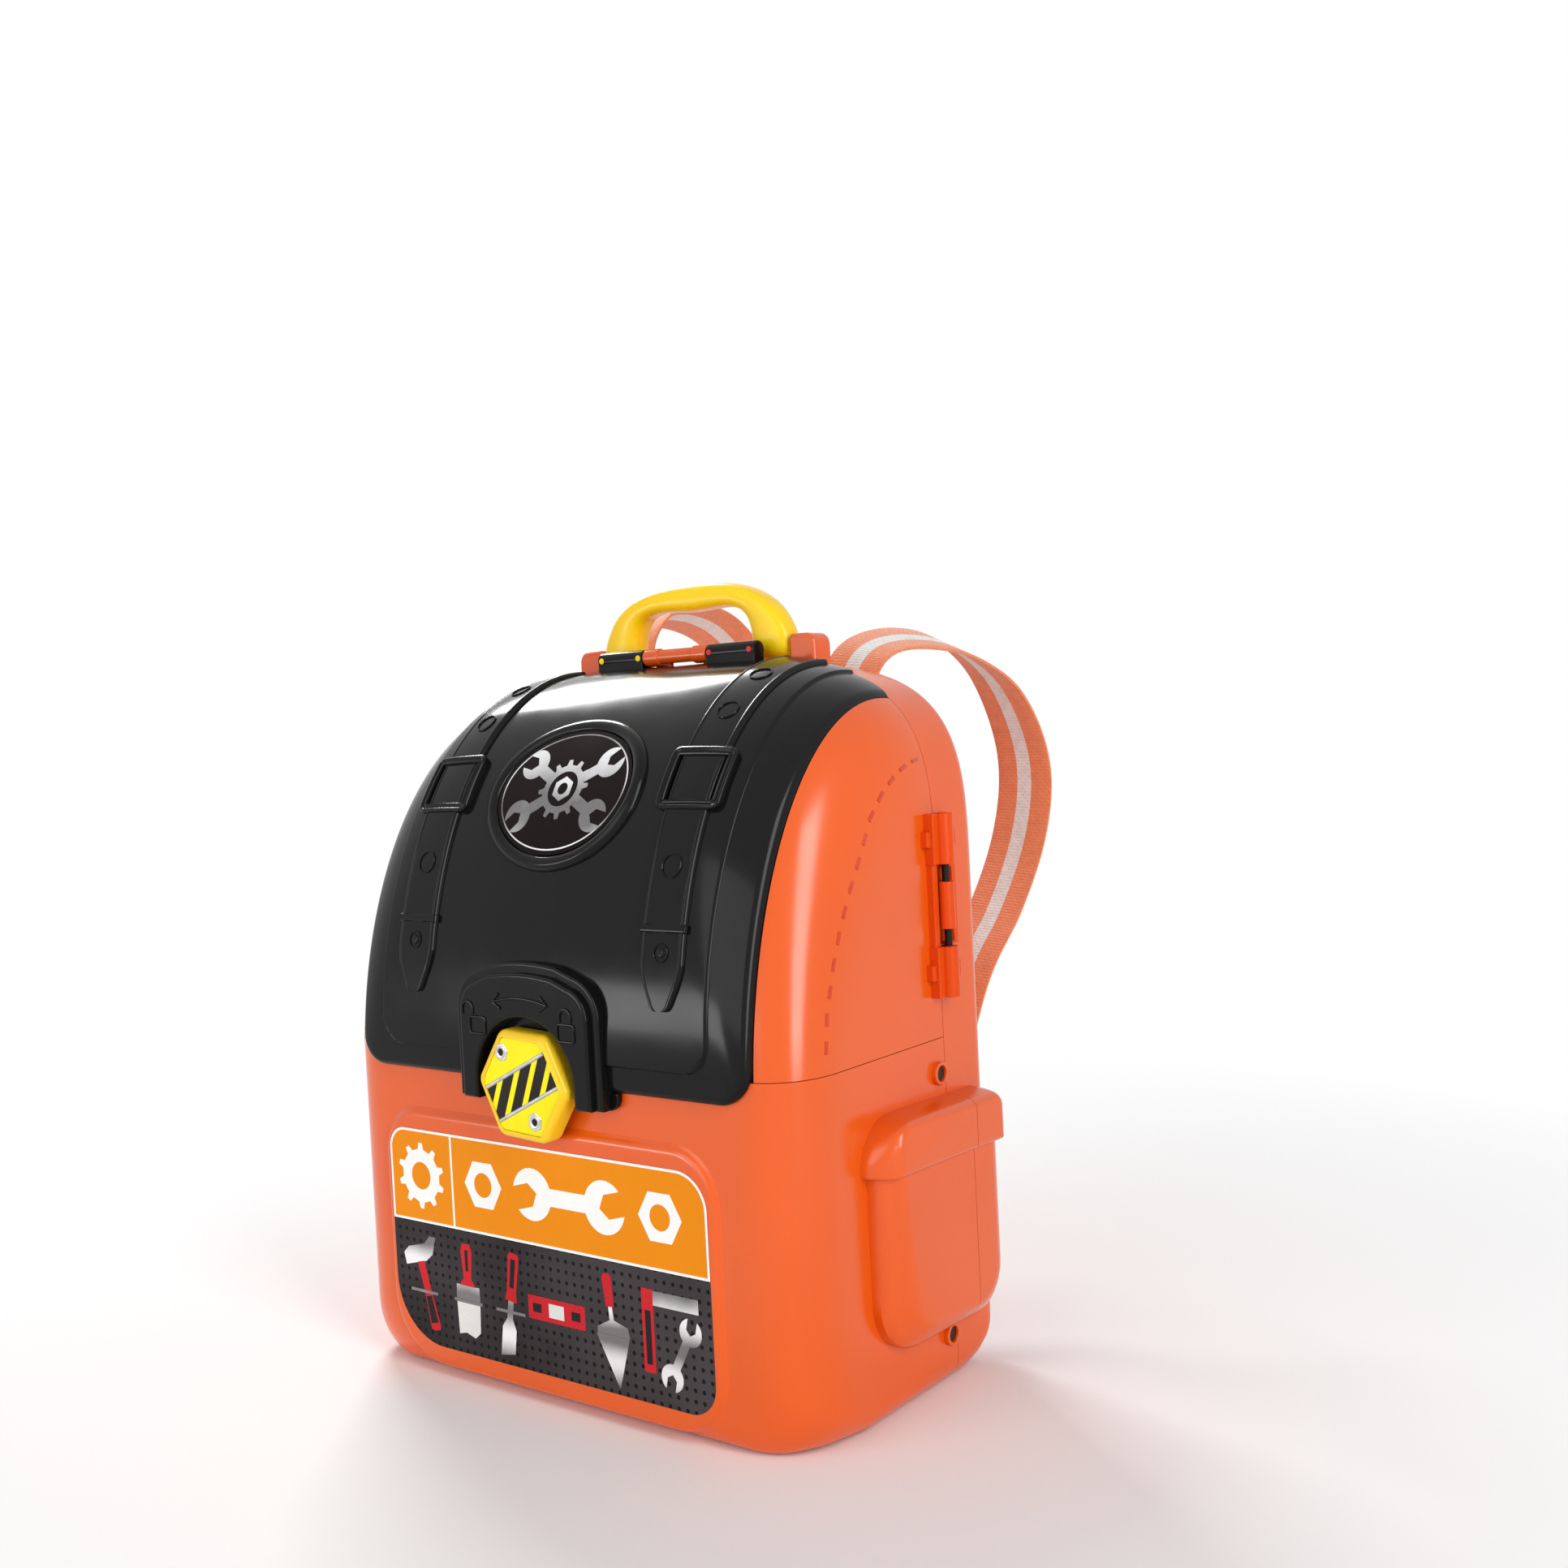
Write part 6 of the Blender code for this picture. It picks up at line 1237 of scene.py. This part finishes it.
LOWER = ((0.012, 0.144, 0.185, 0), (0.002, 0.053, 0.095, 0), (0, 0.006, 0.045, 0), (0, 0, 0.010, 0),
         (0, 0, -0.035, 0))
STRAP_X = 58.5
STRAP_TOP, STRAP_LOW = 252.0, 30.0
STRAP_HALF, STRAP_THICK = 14.0, 0.75


def strap_places(side, steps):
    """Evenly spaced places along the strap's smooth route, and its length."""
    route = np.array([(HEIGHT * shift, BACK + 1.5 + HEIGHT * rear, height + HEIGHT * above, tilt)
                      for table, height in ((ANCHOR + UPPER[side] + MIDDLE, STRAP_TOP), (LOWER, STRAP_LOW))
                      for shift, rear, above, tilt in table])
    padded = np.concatenate([route[:1], route, route[-1:]])
    fine = [0.5 * (2 * p1 + (p2 - p0) * t + (2 * p0 - 5 * p1 + 4 * p2 - p3) * t * t
                   + (3 * p1 - p0 - 3 * p2 + p3) * t ** 3)
            for p0, p1, p2, p3 in zip(padded, padded[1:], padded[2:], padded[3:])
            for t in np.linspace(0, 1, 24, endpoint=False)]
    fine = np.array(fine + [route[-1]])
    length = np.append(0.0, np.cumsum(np.linalg.norm(np.diff(fine[:, :3], axis=0), axis=1)))
    goals = np.linspace(0, length[-1], steps + 1)
    return [np.interp(goals, length, column) for column in fine.T], length[-1]


def make_strap(side):
    """A strap of webbing, with its width and length kept as surface coordinates for the weave."""
    steps = 180
    (shift, y, z, tilt), length = strap_places(side, steps)
    centre = join(side * (STRAP_X + shift), y, z)
    run = np.gradient(centre, axis=0)
    run /= np.linalg.norm(run, axis=1)[:, None]
    angle = np.radians(tilt)
    width = join(side * np.cos(angle), 0.0, -np.sin(angle))
    width -= run * (width * run).sum(1)[:, None]
    width /= np.linalg.norm(width, axis=1)[:, None]
    out = np.cross(width, run) * side
    edge = [(0.985, 0.75), (0.93, 1.0), (0.5, 1.0)]
    section = [(-1.0, 0.0)] + [(-a, b) for a, b in edge] + [(0.0, 1.0)] + edge[::-1]
    section += [(-a, -b) for a, b in section]
    shape = Shape()
    shape.loft([[c + w * STRAP_HALF * a + o * STRAP_THICK * b for a, b in section]
                for c, w, o in zip(centre, width, out)])
    word = SIDES[side]
    piece = make(word + "_webbing", shape, "case", WEBBING, word + "_strap", weighted=False, merge=0.0)
    mesh = piece.data
    layer = mesh.uv_layers.new(name="cloth")
    points = np.array([v.co for v in mesh.vertices]) / MM - (0.0, SET_BACK, 0.0)
    nearest = ((points[:, None, :] - centre[None, :, :]) ** 2).sum(-1).argmin(1)
    across = ((points - centre[nearest]) * width[nearest]).sum(1) / (2 * STRAP_HALF) + 0.5
    along = nearest * length / steps
    for loop in mesh.loops:
        v = loop.vertex_index
        layer.data[loop.index].uv = (across[v], along[v])


# Build

for build in (make_flap, make_emblem, make_hasp, make_knob, make_lock_base, make_bin, make_pad, make_label,
              make_back, make_top_hinge, make_handle):
    build()
for hand in SIDES:
    for build in (make_belt, make_buckle, make_pocket, make_wing, make_wing_hinge, make_bracket, make_strap):
        build(hand)

# CAD nodes that are shown as they are, with their materials.
SHOWN = {"flap_hinge_pin": STEEL, "knob_washer": STEEL, "knob_screw": STEEL}
for word in SIDES.values():
    # The side hinge pins are near-black painted shade, for the shadow in the hinge windows.
    SHOWN.update({word + "_hinge_pin": PIN_PAINTED_SHADE, word + "_handle_pin": STEEL})
    # The side screws take the dark red-brown of painted shade and painted orange reflection.
    SHOWN.update({word + name: SCREW_PAINTED_SHADE for name in ("_low_screw", "_high_screw")})
    SHOWN.update({word + name: BLACK for name in ("_strap_slider", "_top_anchor", "_low_anchor")})
for name, material in SHOWN.items():
    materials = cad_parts[name].data.materials
    materials.clear()
    materials.append(material)


# Camera, with the place and direction that fit the photograph, in metres

camera = bpy.data.cameras.new("camera")
camera.lens = 38.384
camera.sensor_width = 36.0
camera.sensor_fit = "HORIZONTAL"
view = link("camera", camera)
right = Vector((0.79862788, 0.59974897, -0.04994402))
down = Vector((-0.01801997, -0.05912061, -0.99808823))
forward = Vector((-0.60155510, 0.79800123, -0.03640786))
turn = Matrix((right, -down, -forward)).transposed().to_4x4()
turn.translation = Vector((0.457690, -0.542798 + SET_BACK * MM, 0.257175))
view.matrix_world = turn
bpy.context.scene.camera = view


# Floor, backdrop and light

def seen(tree):
    """One where a ray from the camera or off a glossy or clear surface arrives."""
    path = tree.nodes.new("ShaderNodeLightPath")
    total = path.outputs["Is Camera Ray"]
    for name in ("Is Glossy Ray", "Is Transmission Ray"):
        more = tree.nodes.new("ShaderNodeMath")
        more.operation = "MAXIMUM"
        tree.links.new(total, more.inputs[0])
        tree.links.new(path.outputs[name], more.inputs[1])
        total = more.outputs["Value"]
    return total


def blend(tree, factor, first, second, target):
    """Send one shader to the target, or the other where the factor is one."""
    mix = tree.nodes.new("ShaderNodeMixShader")
    for k, socket in enumerate((factor, first, second)):
        tree.links.new(socket, mix.inputs[k])
    tree.links.new(mix.outputs["Shader"], target.inputs["Surface"])


def floor_material():
    """A pale floor that runs out into the white backdrop, with the object's shadow near the object."""
    f = Finish("floor_white")
    f.done(f.ramp(f.noise(3.0, 2.0), (0.3, (0.90, 0.90, 0.90)), (0.7, (0.92, 0.92, 0.92))), 0.7,
           specular_ior_level=0.1)
    radius = f.node("VectorMath", "Value", {0: f.place}, operation="LENGTH")
    blend(f.tree, f.times(seen(f.tree), f.spread(radius, 0.0, 1.0, 0.22, 0.62)), f.shader.outputs["BSDF"],
          f.add("Emission").outputs["Emission"], f.tree.nodes["Material Output"])
    return f.material


floor = bpy.data.meshes.new("floor")
floor.from_pydata([(-4, -4, 0), (4, -4, 0), (4, 4, 0), (-4, 4, 0)], [], [(0, 1, 2, 3)])
floor.materials.append(floor_material())
stage = link("floor", floor)
stage.location.z = -0.0002

world = bpy.data.worlds.new("studio")
bpy.context.scene.world = world
world.use_nodes = True
tree = world.node_tree
grey, white = tree.nodes["Background"], tree.nodes.new("ShaderNodeBackground")
for background, strength in ((grey, 0.28), (white, 1.0)):
    background.inputs["Color"].default_value = (1.0, 1.0, 1.0, 1.0)
    background.inputs["Strength"].default_value = strength
blend(tree, seen(tree), grey.outputs["Background"], white.outputs["Background"], tree.nodes["World Output"])


def lamp(name, direction, distance, width, height, power):
    """A soft box that looks at the case from a direction; metres and watts."""
    data = bpy.data.lights.new(name, "AREA")
    data.shape = "RECTANGLE"
    data.size = width
    data.size_y = height
    data.energy = power
    item = link(name, data)
    item.location = Vector((0, 0, 0.16)) + Vector(direction).normalized() * distance
    item.rotation_euler = (-Vector(direction)).to_track_quat("-Z", "Y").to_euler()


lamp("top_box", (-0.66, 0.41, 0.66), 1.3, 0.50, 0.24, 12.0)
lamp("right_strip", (0.88, -0.30, 0.34), 1.3, 0.42, 1.15, 11.2)
lamp("left_box", (-0.56, -0.82, -0.01), 1.4, 0.50, 0.20, 2.8)
lamp("front_fill", (-0.15, -0.93, 0.32), 1.8, 1.4, 1.1, 10.0)

bpy.context.scene.view_settings.view_transform = "Standard"
